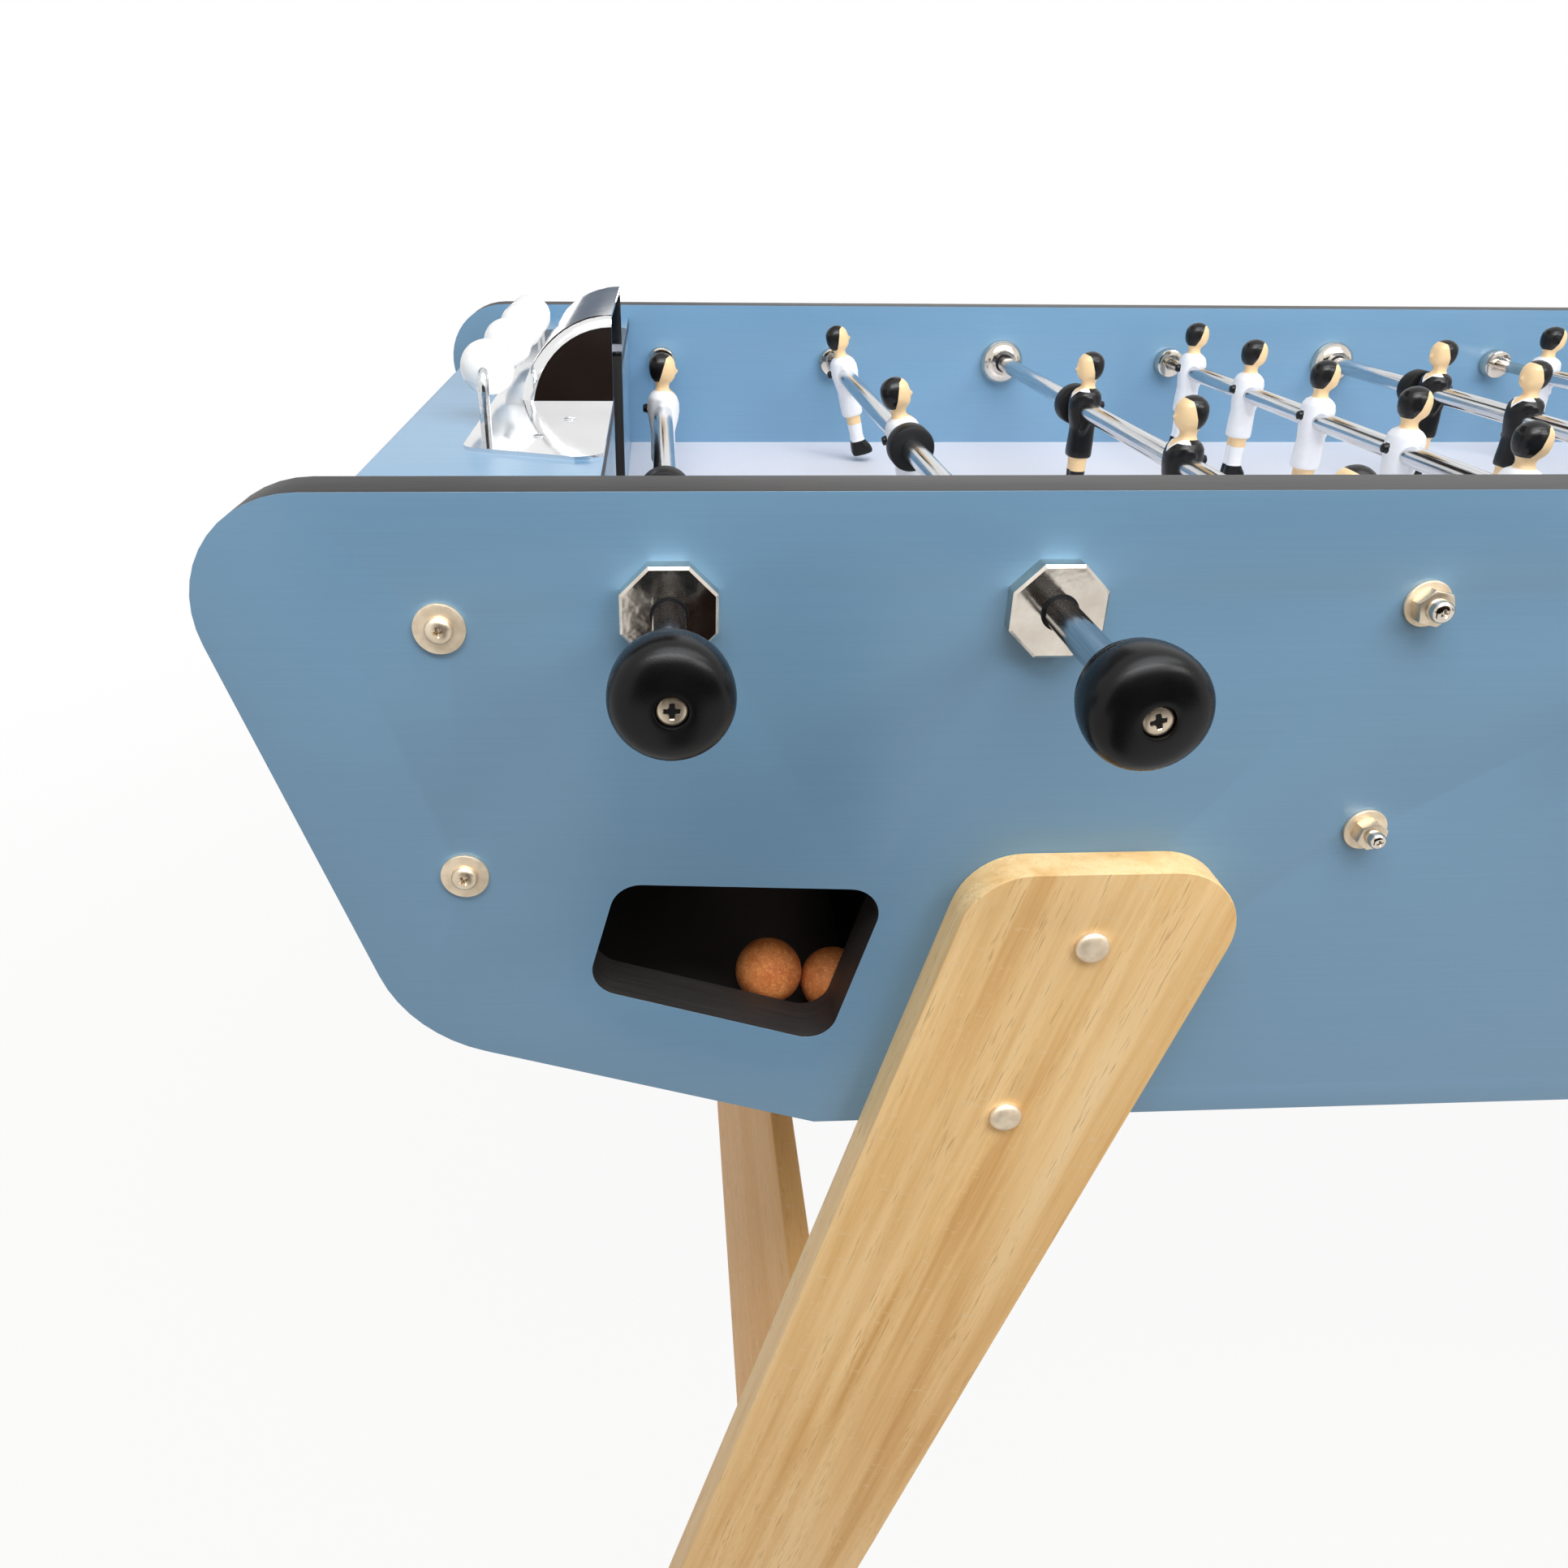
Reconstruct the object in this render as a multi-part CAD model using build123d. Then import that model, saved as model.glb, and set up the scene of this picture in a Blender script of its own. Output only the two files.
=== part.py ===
from build123d import *
import os
from math import asin, atan2, cos, degrees, pi, radians, sin, sqrt, tan

# Frame: +X along the table, +Y from the front side panel to the rear one, +Z up.
# The origin is on the floor, below the middle of the table. All sizes in millimetres.
# The table looks the same after a half turn about Z, so each left-hand piece gives a right-hand one.

# Table body
panel_top_height = 880.0
field_width = 682.0
panel_length = 1550.0
panel_thickness = 27.5
panel_depth = 340.0
end_edge_lean = 16.8
top_corner_radius = 50.0
nose_depth = 274.0
nose_radius = 73.0
belly_slant = 17.7

# Bars
bar_count = 8
end_overhang = 197.5
bar_drop = 49.5
tube_radius = 7.0
rod_radius = 5.0
running_clearance = 0.08
slip_clearance = 0.15
end_play = 3.0
rod_engagement = 250.0

# Bar bearings: an eight-sided flange outside, a domed cup inside and a turning bush through both
flange_sides = 8
flange_across_flats = 41.3
flange_thickness = 9.0
flange_chamfer = 1.2
cup_radius = 20.0
cup_nose_radius = 11.5
cup_height = 14.0
cup_bulge_share = 0.72
bush_radius = 8.1
bush_collar_radius = 11.0
bush_collar_length = 8.0
bush_lip = 0.6

# Rod anchors in the wall across from the handle
anchor_seat_radius = 13.0
anchor_seat_length = 12.0
anchor_washer_radius = 10.5
anchor_nut_across_flats = 15.0
washer_thickness = 2.0
nut_thickness = 6.5
rod_end_proud = 6.0
rod_end_rounding = 2.5

# Grips and stop rings
grip_length = 36.0
grip_radius = 23.0
grip_widest_share = 0.64
grip_back_radius = 17.0
grip_back_bulge_share = 0.7
grip_face_radius = 12.5
grip_face_bulge_share = 0.72
grip_end_wall = 11.0
grip_spare = 22.0
keeper_grip_spare = 55.0
grip_recess_radius = 5.5
grip_screw_radius = 4.9
grip_screw_sink = 1.4
grip_screw_head = 2.0
grip_screw_shank_radius = 2.2
grip_screw_length = 26.0
stop_radius = 15.2
stop_length = 16.0
stop_gap = 0.3

# Playing figures, measured from the bar axis
figure_half_width = 14.0
figure_torso_depth = 26.0
figure_shoulder_rise = 16.0
figure_shoulder_rounding = 7.0
figure_waist_drop = 12.0
figure_shorts_depth = 19.0
figure_shorts_width = 23.0
figure_hem_drop = 36.0
figure_leg_depth = 13.0
figure_leg_width = 19.0
figure_ankle_drop = 60.0
figure_foot_drop = 73.5
figure_shoe_length = 20.0
figure_toe_reach = 2.0
figure_neck_radius = 6.0
figure_chin_rise = 20.0
figure_head_depth = 20.0
figure_head_tall = 23.0
figure_head_rounding = 8.5
figure_screw_radius = 3.2
figure_screw_reach = 15.0
figure_screw_rise = 3.0
tube_tail = 2.0
keeper_margin = 1.0
keeper_pull = 66.0

# Field, goals and end decks, measured from the goalkeeper bar or from the panel top
field_drop = 127.0
field_thickness = 18.0
goal_wall_offset = 30.5
goal_wall_thickness = 8.5
goal_width = 190.0
deck_drop = 12.0
deck_thickness = 8.5
deck_length = 114.0
deck_edge_rounding = 2.0
hood_relief_depth = 51.0
end_board_offset = 96.5
end_board_thickness = 18.0

# Goal hood, score plate, score bar and beads
hood_radius = 56.0
hood_centre_drop = 18.5
hood_cheek_margin = 2.0
hood_cheek_lean = 12.0
hood_sheet = 2.0
hood_rim_radius = 8.0
plate_thickness = 2.0
plate_width = 72.0
plate_inner_half_length = 264.0
plate_outer_half_length = 236.0
plate_corner_radius = 12.0
score_bar_offset = 98.0
score_bar_span = 351.0
score_bar_height = 26.0
score_bar_radius = 3.0
score_bar_bend = 9.0
bead_diameter = 30.0
bead_spacing = 0.3
bead_end_flat = 11.0
bead_group_counts = (1, 1, 3)
bead_group_gaps = (70.0, 57.0)

# Ball mouth, ball tray and balls
mouth_top_drop = 187.0
mouth_top_slant = 2.7
mouth_lean = 15.8
mouth_left_offset = 26.0
mouth_top_width = 131.0
mouth_left_height = 60.0
mouth_corner_radius = 15.0
tray_thickness = 5.0
tray_drop = 27.9
tray_slant = 11.1
tray_cross_fall = 0.06
tray_riser_offset = 22.0
tray_riser_height = 70.0
ball_diameter = 36.0
ball_gap = 0.3

# Legs and stretchers
leg_thickness = 20.0
leg_top_drop = 173.5
leg_top_left = 142.2
leg_top_width = 138.8
leg_foot_left = -41.9
leg_foot_width = 114.8
leg_corner_radius = 34.0
leg_pad_thickness = 4.0
leg_pad_margin = 5.0
stretcher_thickness = 20.0
stretcher_height = 140.0
stretcher_centre_height = 212.0

# Panel screws, leg bolts and tie rods
end_screw_drops = (57.5, 180.0)
end_screw_washer_radius = 11.25
end_screw_head_radius = 6.2
end_screw_head_height = 4.0
end_screw_shank_radius = 3.0
end_screw_bite = 40.0
leg_bolt_drops = (214.0, 320.0)
leg_bolt_head_radius = 8.5
leg_bolt_head_height = 4.5
leg_bolt_shank_radius = 4.0
leg_nut_across_flats = 13.0
tie_rod_offset = 332.0
tie_rod_drop = 163.0
tie_rod_radius = 4.0
tie_nut_across_flats = 13.0

# Bars from left to right as they stand: figures, side of the handle, push away from the handle as a
# share of the bar's travel, and turn in degrees
front = 1
rear = -1
bars = (
    dict(figures=1, handle=front, push=0.92, turn=0.0),
    dict(figures=2, handle=front, push=0.687, turn=-15.0),
    dict(figures=3, handle=rear, push=0.861, turn=0.0),
    dict(figures=5, handle=front, push=0.636, turn=0.0),
    dict(figures=5, handle=rear, push=0.844, turn=0.0),
    dict(figures=3, handle=front, push=0.62, turn=0.0),
    dict(figures=2, handle=rear, push=0.687, turn=0.0),
    dict(figures=1, handle=rear, push=0.8, turn=0.0),
)

# Distance between neighbouring figures on a bar, as a share of the field width
figure_pitch_shares = {1: 0.0, 2: 0.418, 3: 0.2808, 5: 0.1708}

# How far a cutting tool reaches past the surface it cuts
cut_overrun = 1.0

# Places that several pieces share
inner_face = field_width / 2
outer_face = inner_face + panel_thickness
bar_height = panel_top_height - bar_drop
goalie_x = end_overhang - panel_length / 2
bar_pitch = -2 * goalie_x / (bar_count - 1)
keeper_travel = goal_width / 2 - figure_half_width - keeper_margin
goal_wall_face = goalie_x - goal_wall_offset
field_top = panel_top_height - field_drop
deck_top = panel_top_height - deck_drop
deck_underside = deck_top - deck_thickness
plate_top = deck_top + plate_thickness
half_turn = Rot(0, 0, 180)


def along_y(radius, start, end, x=0.0, z=0.0):
    """Round bar from one Y to another."""
    return Pos(x, (start + end) / 2, z) * Rot(90, 0, 0) * Cylinder(radius, abs(end - start))


def box_between(low, high):
    """Box from its lowest corner to its highest one."""
    size = [b - a for a, b in zip(low, high)]
    middle = [(a + b) / 2 for a, b in zip(low, high)]
    return Pos(*middle) * Box(*size)


def upright_board(points, corner_radii, y_start, y_end):
    """Board with an outline of X and Z points, between two Y planes."""
    outline = make_face(Polyline(*points, close=True))
    for point, radius in zip(points, corner_radii):
        if radius > 0:
            corner = outline.vertices().sort_by_distance((*point, 0))[0]
            outline = fillet(corner, radius)
    face = Plane((0, y_end, 0), x_dir=(1, 0, 0), z_dir=(0, -1, 0)) * outline
    return extrude(face, amount=y_end - y_start)


def hexagon_nut(across_flats, hole_radius, start, end, x=0.0, z=0.0):
    """Hexagon nut on a Y axis."""
    outline = RegularPolygon(across_flats / 2, 6, major_radius=False) - Circle(hole_radius)
    face = Plane((x, end, z), x_dir=(1, 0, 0), z_dir=(0, -1, 0)) * outline
    return extrude(face, amount=end - start)


def ring(radius, hole_radius, start, end, x=0.0, z=0.0):
    """Plain ring or washer on a Y axis."""
    hole = along_y(hole_radius, start - cut_overrun, end + cut_overrun, x, z)
    return along_y(radius, start, end, x, z) - hole


def domed_head(radius, height, y, x, z):
    """Low dome that stands on a plane at y and points to -Y."""
    sphere_radius = (radius**2 + height**2) / (2 * height)
    ball = Pos(x, y + sphere_radius - height, z) * Sphere(sphere_radius)
    return ball & along_y(radius + cut_overrun, y - height - cut_overrun, y, x, z)


def save(name, *pieces):
    """Write the separate solids of one node."""
    solids = [solid for piece in pieces for solid in piece.solids()]
    export_step(Compound(solids), f"parts/{name}.step")


def both_ends(piece):
    """A left-hand piece and its copy turned half way round."""
    return (piece, half_turn * piece)


# Side panels
def panel_corner_points():
    """Sharp corners of the panel outline, before rounding."""
    lean = radians(end_edge_lean)
    top_tangent = top_corner_radius / tan((radians(90) - lean) / 2)
    top_x = panel_length / 2 + top_tangent - top_corner_radius
    nose_x = top_x - nose_depth * tan(lean)
    belly_x = nose_x - (panel_depth - nose_depth) / tan(radians(belly_slant))
    left = [
        (-top_x, panel_top_height),
        (-nose_x, panel_top_height - nose_depth),
        (-belly_x, panel_top_height - panel_depth),
    ]
    right = [(-x, z) for x, z in reversed(left)]
    return left + right


def mouth_corner_points():
    """Sharp corners of the ball mouth in the front panel: top left, top right, bottom right, bottom left."""
    lean = tan(radians(mouth_lean))
    top_fall = tan(radians(mouth_top_slant))
    floor_fall = tan(radians(belly_slant))
    left_x = goalie_x - mouth_left_offset
    left_z = panel_top_height - mouth_top_drop
    right_x = left_x + mouth_top_width
    right_z = left_z - mouth_top_width * top_fall
    low_left_x = left_x - mouth_left_height * lean
    low_left_z = left_z - mouth_left_height
    right_drop = (right_z - low_left_z + floor_fall * (right_x - low_left_x)) / (1 + floor_fall * lean)
    return [
        (left_x, left_z),
        (right_x, right_z),
        (right_x - right_drop * lean, right_z - right_drop),
        (low_left_x, low_left_z),
    ]


def bar_x(index):
    """X of a bar's axis."""
    return goalie_x + index * bar_pitch


def leg_axis_x(drop):
    """Middle of the front left leg at a depth below the panel top."""
    share = (drop - leg_top_drop) / (panel_top_height - leg_top_drop)
    left = leg_top_left + (leg_foot_left - leg_top_left) * share
    width = leg_top_width + (leg_foot_width - leg_top_width) * share
    return goalie_x + left + width / 2


def leg_bolt_places():
    """X and Z of the leg bolts in the front panel."""
    left = [(leg_axis_x(drop), panel_top_height - drop) for drop in leg_bolt_drops]
    return left + [(-x, z) for x, z in left]


def end_screw_places():
    """X and Z of the screws that hold the end boards to the front panel."""
    x = goalie_x - end_board_offset
    left = [(x, panel_top_height - drop) for drop in end_screw_drops]
    return left + [(-x, z) for x, z in left]


def tie_rod_places():
    """X and Z of the tie rods."""
    x = goalie_x + tie_rod_offset
    z = panel_top_height - tie_rod_drop
    return [(x, z), (-x, z)]


def front_panel():
    """Front side panel with its ball mouth and its holes."""
    corners = panel_corner_points()
    radii = [top_corner_radius, nose_radius, 0, 0, nose_radius, top_corner_radius]
    panel = upright_board(corners, radii, -outer_face, -inner_face)
    mouth_radii = [mouth_corner_radius] * 4
    start = -outer_face - cut_overrun
    end = -inner_face + cut_overrun
    cuts = [upright_board(mouth_corner_points(), mouth_radii, start, end)]
    for index, bar in enumerate(bars):
        radius = bush_collar_radius if bar["handle"] == front else rod_radius
        cuts.append(panel_hole(radius, bar_x(index), bar_height))
    for x, z in leg_bolt_places():
        cuts.append(panel_hole(leg_bolt_shank_radius, x, z))
    for x, z in end_screw_places():
        cuts.append(panel_hole(end_screw_shank_radius, x, z))
    for x, z in tie_rod_places():
        cuts.append(panel_hole(tie_rod_radius, x, z))
    return panel - cuts


def panel_hole(radius, x, z):
    """Cutter for a hole through the front panel."""
    return along_y(radius + slip_clearance, -outer_face - cut_overrun, -inner_face + cut_overrun, x, z)


# Boards of the body
def playfield():
    return box_between(
        (goal_wall_face, -inner_face, field_top - field_thickness),
        (-goal_wall_face, inner_face, field_top),
    )


def goal_wall():
    board = box_between(
        (goal_wall_face - goal_wall_thickness, -inner_face, field_top - field_thickness),
        (goal_wall_face, inner_face, deck_underside),
    )
    mouth = box_between(
        (goal_wall_face - goal_wall_thickness - cut_overrun, -goal_width / 2, field_top),
        (goal_wall_face + cut_overrun, goal_width / 2, deck_underside + cut_overrun),
    )
    return board - mouth


def end_deck():
    outer_x = goal_wall_face - deck_length
    board = box_between((outer_x, -inner_face, deck_underside), (goal_wall_face, inner_face, deck_top))
    outer_edges = board.edges().filter_by(Axis.Y).group_by(Axis.X)[0]
    board = fillet(outer_edges, deck_edge_rounding)
    return board - hood_relief(deck_underside, deck_top)


def hood_relief(low, high):
    """Cutter for the opening under the hood, where the goalkeeper swings."""
    return box_between(
        (goal_wall_face - hood_relief_depth, -goal_width / 2, low - cut_overrun),
        (goal_wall_face + cut_overrun, goal_width / 2, high + cut_overrun),
    )


def end_board_x():
    """X of the left end board's outer and inner faces."""
    middle = goalie_x - end_board_offset
    return middle - end_board_thickness / 2, middle + end_board_thickness / 2


def end_board():
    outer_x, inner_x = end_board_x()
    low = tray_height(outer_x) - tray_thickness
    board = box_between((outer_x, -inner_face, low), (inner_x, inner_face, deck_underside))
    holes = []
    for x, z in end_screw_places():
        for side in (-1, 1):
            start = side * (inner_face + cut_overrun)
            end = side * (inner_face - end_screw_bite - cut_overrun)
            holes.append(along_y(end_screw_shank_radius + slip_clearance, start, end, x, z))
    return board - holes


# Ball trays: a floor that falls along X and towards the ball mouth, with a riser at its low end
def tray_height(x):
    """Top of the tray floor at the mouth's panel."""
    low_left = mouth_corner_points()[3]
    return low_left[1] - tray_drop - (x - low_left[0]) * tan(radians(tray_slant))


def tray_riser_foot():
    """X and Z where the riser meets the tray floor."""
    low_right = mouth_corner_points()[2]
    x = low_right[0] + tray_riser_offset
    return x, tray_height(x)


def ball_tray():
    start_x = end_board_x()[1]
    foot_x, foot_z = tray_riser_foot()
    lean = tan(radians(mouth_lean))
    top_x = foot_x + tray_riser_height * lean
    top_z = foot_z + tray_riser_height
    section = make_face(
        Polyline(
            (start_x, tray_height(start_x)),
            (foot_x, foot_z),
            (top_x, top_z),
            (top_x + tray_thickness, top_z),
            (foot_x + tray_thickness, foot_z - tray_thickness),
            (start_x, tray_height(start_x) - tray_thickness),
            close=True,
        )
    )
    face = Plane((0, -inner_face, 0), x_dir=(1, 0, 0), z_dir=(0, -1, 0)) * section
    run = Vector(0, field_width, field_width * tray_cross_fall)
    return extrude(face, amount=run.length, dir=run.normalized())


def ball_centres():
    """Two balls at the low end of the front tray, against its riser and the front panel."""
    reach = ball_diameter / 2 + ball_gap
    fall = tan(radians(tray_slant))
    lean = tan(radians(mouth_lean))
    y = -inner_face + reach
    foot_x, foot_z = tray_riser_foot()
    floor_lift = reach * sqrt(1 + fall**2 + tray_cross_fall**2) + tray_cross_fall * reach
    riser_gap = reach * sqrt(1 + lean**2)
    x = foot_x + (floor_lift * lean - riser_gap) / (1 + fall * lean)
    z = foot_z - (x - foot_x) * fall + floor_lift
    step = ball_diameter + ball_gap
    slope = atan2(fall, 1)
    return [(x, y, z), (x - step * cos(slope), y, z + step * sin(slope))]


def balls():
    return [Pos(*centre) * Sphere(ball_diameter / 2) for centre in ball_centres()]


# Goal hood: a quarter-round cover with two leaning cheeks behind the goal mouth, open to the field and below
def goal_hood():
    centre_rise = panel_top_height - hood_centre_drop - plate_top
    lean = radians(hood_cheek_lean)
    foot_spread = (centre_rise + hood_radius) * tan(lean)
    base_angle = pi - asin(-centre_rise / hood_radius)
    middle_angle = (pi / 2 + base_angle) / 2
    arc = [
        (hood_radius * cos(angle), centre_rise + hood_radius * sin(angle))
        for angle in (pi / 2, middle_angle, base_angle)
    ]
    front_foot = (0, 0)
    width = goal_width + 2 * (hood_cheek_margin + foot_spread)
    profile = make_face(ThreePointArc(*arc) + Polyline(arc[2], front_foot, arc[0]))
    face = Plane((goal_wall_face, width / 2, plate_top), x_dir=(1, 0, 0), z_dir=(0, -1, 0)) * profile
    block = extrude(face, amount=width)
    for side in (front, rear):
        foot = (goal_wall_face, -side * width / 2, plate_top)
        cheek = Plane(foot, x_dir=(1, 0, 0), z_dir=(0, -side * cos(lean), sin(lean)))
        block = split(block, bisect_by=cheek, keep=Keep.BOTTOM)
    rims = block.edges().filter_by(GeomType.ELLIPSE)
    block = fillet(rims, hood_rim_radius)
    open_faces = [block.faces().sort_by(Axis.X)[-1], block.faces().sort_by(Axis.Z)[0]]
    return offset(block, amount=-hood_sheet, openings=open_faces)


def score_plate():
    inner_x = goal_wall_face
    outer_x = goal_wall_face - plate_width
    corners = [
        (outer_x, -plate_outer_half_length),
        (inner_x, -plate_inner_half_length),
        (inner_x, plate_inner_half_length),
        (outer_x, plate_outer_half_length),
    ]
    outline = make_face(Polyline(*corners, close=True))
    outline = fillet(outline.vertices(), plate_corner_radius)
    plate = extrude(Pos(0, 0, deck_top) * outline, amount=plate_thickness)
    return plate - hood_relief(deck_top, plate_top)


def score_bar():
    x = goalie_x - score_bar_offset
    half = score_bar_span / 2
    top = plate_top + score_bar_height
    path = FilletPolyline(
        (x, -half, plate_top), (x, -half, top), (x, half, top), (x, half, plate_top), radius=score_bar_bend
    )
    return sweep(Plane((x, -half, plate_top)) * Circle(score_bar_radius), path=path)


def bead_places():
    """Y places of the beads of each group, from the front post on."""
    step = bead_diameter + bead_spacing
    y = score_bar_bend - score_bar_span / 2 + step - bead_diameter / 2
    groups = []
    for count, gap in zip(bead_group_counts, (*bead_group_gaps, 0.0)):
        groups.append([y + index * step for index in range(count)])
        y += count * step + gap
    return groups


def bead(y):
    x = goalie_x - score_bar_offset
    z = plate_top + score_bar_height
    half = bead_diameter / 2
    flat = sqrt(half**2 - (bead_end_flat / 2) ** 2)
    ball = Pos(x, y, z) * Sphere(half) & along_y(half, y - flat, y + flat, x, z)
    return ball - along_y(score_bar_radius + running_clearance, y - half, y + half, x, z)


# Legs
def front_leg():
    foot = leg_pad_thickness
    top = panel_top_height - leg_top_drop
    corners = [
        (goalie_x + leg_foot_left, foot),
        (goalie_x + leg_foot_left + leg_foot_width, foot),
        (goalie_x + leg_top_left + leg_top_width, top),
        (goalie_x + leg_top_left, top),
    ]
    radii = [0, 0, leg_corner_radius, leg_corner_radius]
    leg = upright_board(corners, radii, -outer_face - leg_thickness, -outer_face)
    holes = []
    for drop in leg_bolt_drops:
        x = leg_axis_x(drop)
        z = panel_top_height - drop
        radius = leg_bolt_shank_radius + slip_clearance
        start = -outer_face - leg_thickness - cut_overrun
        holes.append(along_y(radius, start, -outer_face + cut_overrun, x, z))
    return leg - holes


def leg_pad():
    left = goalie_x + leg_foot_left + leg_pad_margin
    right = goalie_x + leg_foot_left + leg_foot_width - leg_pad_margin
    front_y = -outer_face - leg_thickness + leg_pad_margin / 2
    rear_y = -outer_face - leg_pad_margin / 2
    return box_between((left, front_y, 0), (right, rear_y, leg_pad_thickness))


def stretcher():
    """Cross board between a front leg and a rear leg, leaning as the legs do."""
    drop = panel_top_height - stretcher_centre_height
    top_x = leg_axis_x(leg_top_drop)
    foot_x = leg_axis_x(panel_top_height)
    lean = degrees(atan2(top_x - foot_x, panel_top_height - leg_top_drop))
    board = Box(stretcher_thickness, 2 * outer_face, stretcher_height)
    return Pos(leg_axis_x(drop), 0, stretcher_centre_height) * Rot(0, lean, 0) * board


# Fasteners of the front side
def front_panel_screws():
    pieces = []
    for x, z in end_screw_places():
        washer_face = -outer_face - washer_thickness
        radius = end_screw_shank_radius
        pieces.append(ring(end_screw_washer_radius, radius + slip_clearance, washer_face, -outer_face, x, z))
        shank = along_y(radius, washer_face, -inner_face + end_screw_bite, x, z)
        pieces.append(domed_head(end_screw_head_radius, end_screw_head_height, washer_face, x, z) + shank)
    for x, z in leg_bolt_places():
        leg_face = -outer_face - leg_thickness
        nut_end = -inner_face + nut_thickness
        radius = leg_bolt_shank_radius
        shank = along_y(radius, leg_face, nut_end, x, z)
        pieces.append(domed_head(leg_bolt_head_radius, leg_bolt_head_height, leg_face, x, z) + shank)
        pieces.append(hexagon_nut(leg_nut_across_flats, radius + slip_clearance, -inner_face, nut_end, x, z))
    return pieces


def end_nut(radius, washer_radius, across_flats, x, z):
    """Washer and nut on the outside of the front panel."""
    washer_face = -outer_face - washer_thickness
    nut_face = washer_face - nut_thickness
    hole = radius + slip_clearance
    return [
        ring(washer_radius, hole, washer_face, -outer_face, x, z),
        hexagon_nut(across_flats, hole, nut_face, washer_face, x, z),
    ]


def rod_tip(radius, x, z, end):
    """Round bar from outside the front panel to an end inside, with a rounded outer end."""
    tip = -outer_face - washer_thickness - nut_thickness - rod_end_proud
    bar = along_y(radius, tip, end, x, z)
    return fillet(bar.edges().sort_by(Axis.Y)[0], rod_end_rounding)


def front_rod_nuts():
    pieces = []
    for index, bar in enumerate(bars):
        if bar["handle"] == rear:
            x = bar_x(index)
            pieces += end_nut(rod_radius, anchor_washer_radius, anchor_nut_across_flats, x, bar_height)
            hole = rod_radius + slip_clearance
            pieces.append(
                ring(anchor_seat_radius, hole, -inner_face, -inner_face + anchor_seat_length, x, bar_height)
            )
    for x, z in tie_rod_places():
        pieces += end_nut(tie_rod_radius, anchor_washer_radius, tie_nut_across_flats, x, z)
    return pieces


def tie_rod():
    x, z = tie_rod_places()[0]
    front_half = rod_tip(tie_rod_radius, x, z, 0)
    return front_half + mirror(front_half, about=Plane.XZ)


# Bars: each is built with its handle at the front, about its own axis, and turned round for a rear handle
def figure_places(count):
    """Y places of the figures with the bar in its middle place."""
    pitch = figure_pitch_shares[count] * field_width
    return [(index - (count - 1) / 2) * pitch for index in range(count)]


def tube_end(count):
    """Y of the tube's inner end with the bar in its middle place."""
    if count == 1:
        return inner_face - anchor_seat_length - end_play - keeper_travel
    return figure_places(count)[-1] + figure_half_width + tube_tail


def inward_travel(count):
    """Travel away from the handle, until the tube's end meets the anchor seat."""
    return inner_face - anchor_seat_length - end_play - tube_end(count)


def grip_back(count):
    """Y of the grip's inner end with the bar in its middle place."""
    spare = keeper_grip_spare if count == 1 else grip_spare
    return -(outer_face + flange_thickness + inward_travel(count) + spare)


def bar_tube(count):
    """Outer tube, from inside the grip to past the last figure."""
    start = grip_back(count) - grip_length + grip_end_wall
    return ring(tube_radius, rod_radius + running_clearance, start, tube_end(count))


def bar_grip(count):
    """Round knob on the tube's outer end, with a recess for its screw."""
    back = grip_back(count)
    face = back - grip_length
    widest = back - grip_length * grip_widest_share
    face_bulge = grip_face_radius + (grip_radius - grip_face_radius) * grip_face_bulge_share
    back_bulge = grip_back_radius + (grip_radius - grip_back_radius) * grip_back_bulge_share
    profile = make_face(
        Polyline((0, face), (grip_face_radius, face))
        + ThreePointArc(
            (grip_face_radius, face),
            (face_bulge, face + (widest - face) * (1 - grip_face_bulge_share)),
            (grip_radius, widest),
        )
        + ThreePointArc((grip_radius, widest), (back_bulge, (widest + back) / 2), (grip_back_radius, back))
        + Polyline((grip_back_radius, back), (0, back), (0, face))
    )
    knob = revolve(profile, Axis.Y)
    outside = face - cut_overrun
    wall = face + grip_end_wall
    recess_floor = face + grip_screw_sink + grip_screw_head
    knob -= along_y(tube_radius + running_clearance, wall, back + cut_overrun)
    knob -= along_y(grip_screw_shank_radius + slip_clearance, outside, wall + cut_overrun)
    return knob - along_y(grip_recess_radius, outside, recess_floor)


def grip_screw(count):
    """Screw sunk in the grip's face."""
    top = grip_back(count) - grip_length + grip_screw_sink
    head = along_y(grip_screw_radius, top, top + grip_screw_head)
    return head + along_y(grip_screw_shank_radius, top, top + grip_screw_length)


def stop_ring(count):
    """Rubber ring that meets the inner cup at the end of the outward travel."""
    outer = figure_places(count)[0] - figure_half_width - stop_gap - stop_length
    if count == 1:
        outer = -(inner_face - cup_height) + keeper_pull + end_play
    return ring(stop_radius, tube_radius + running_clearance, outer, outer + stop_length)


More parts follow.
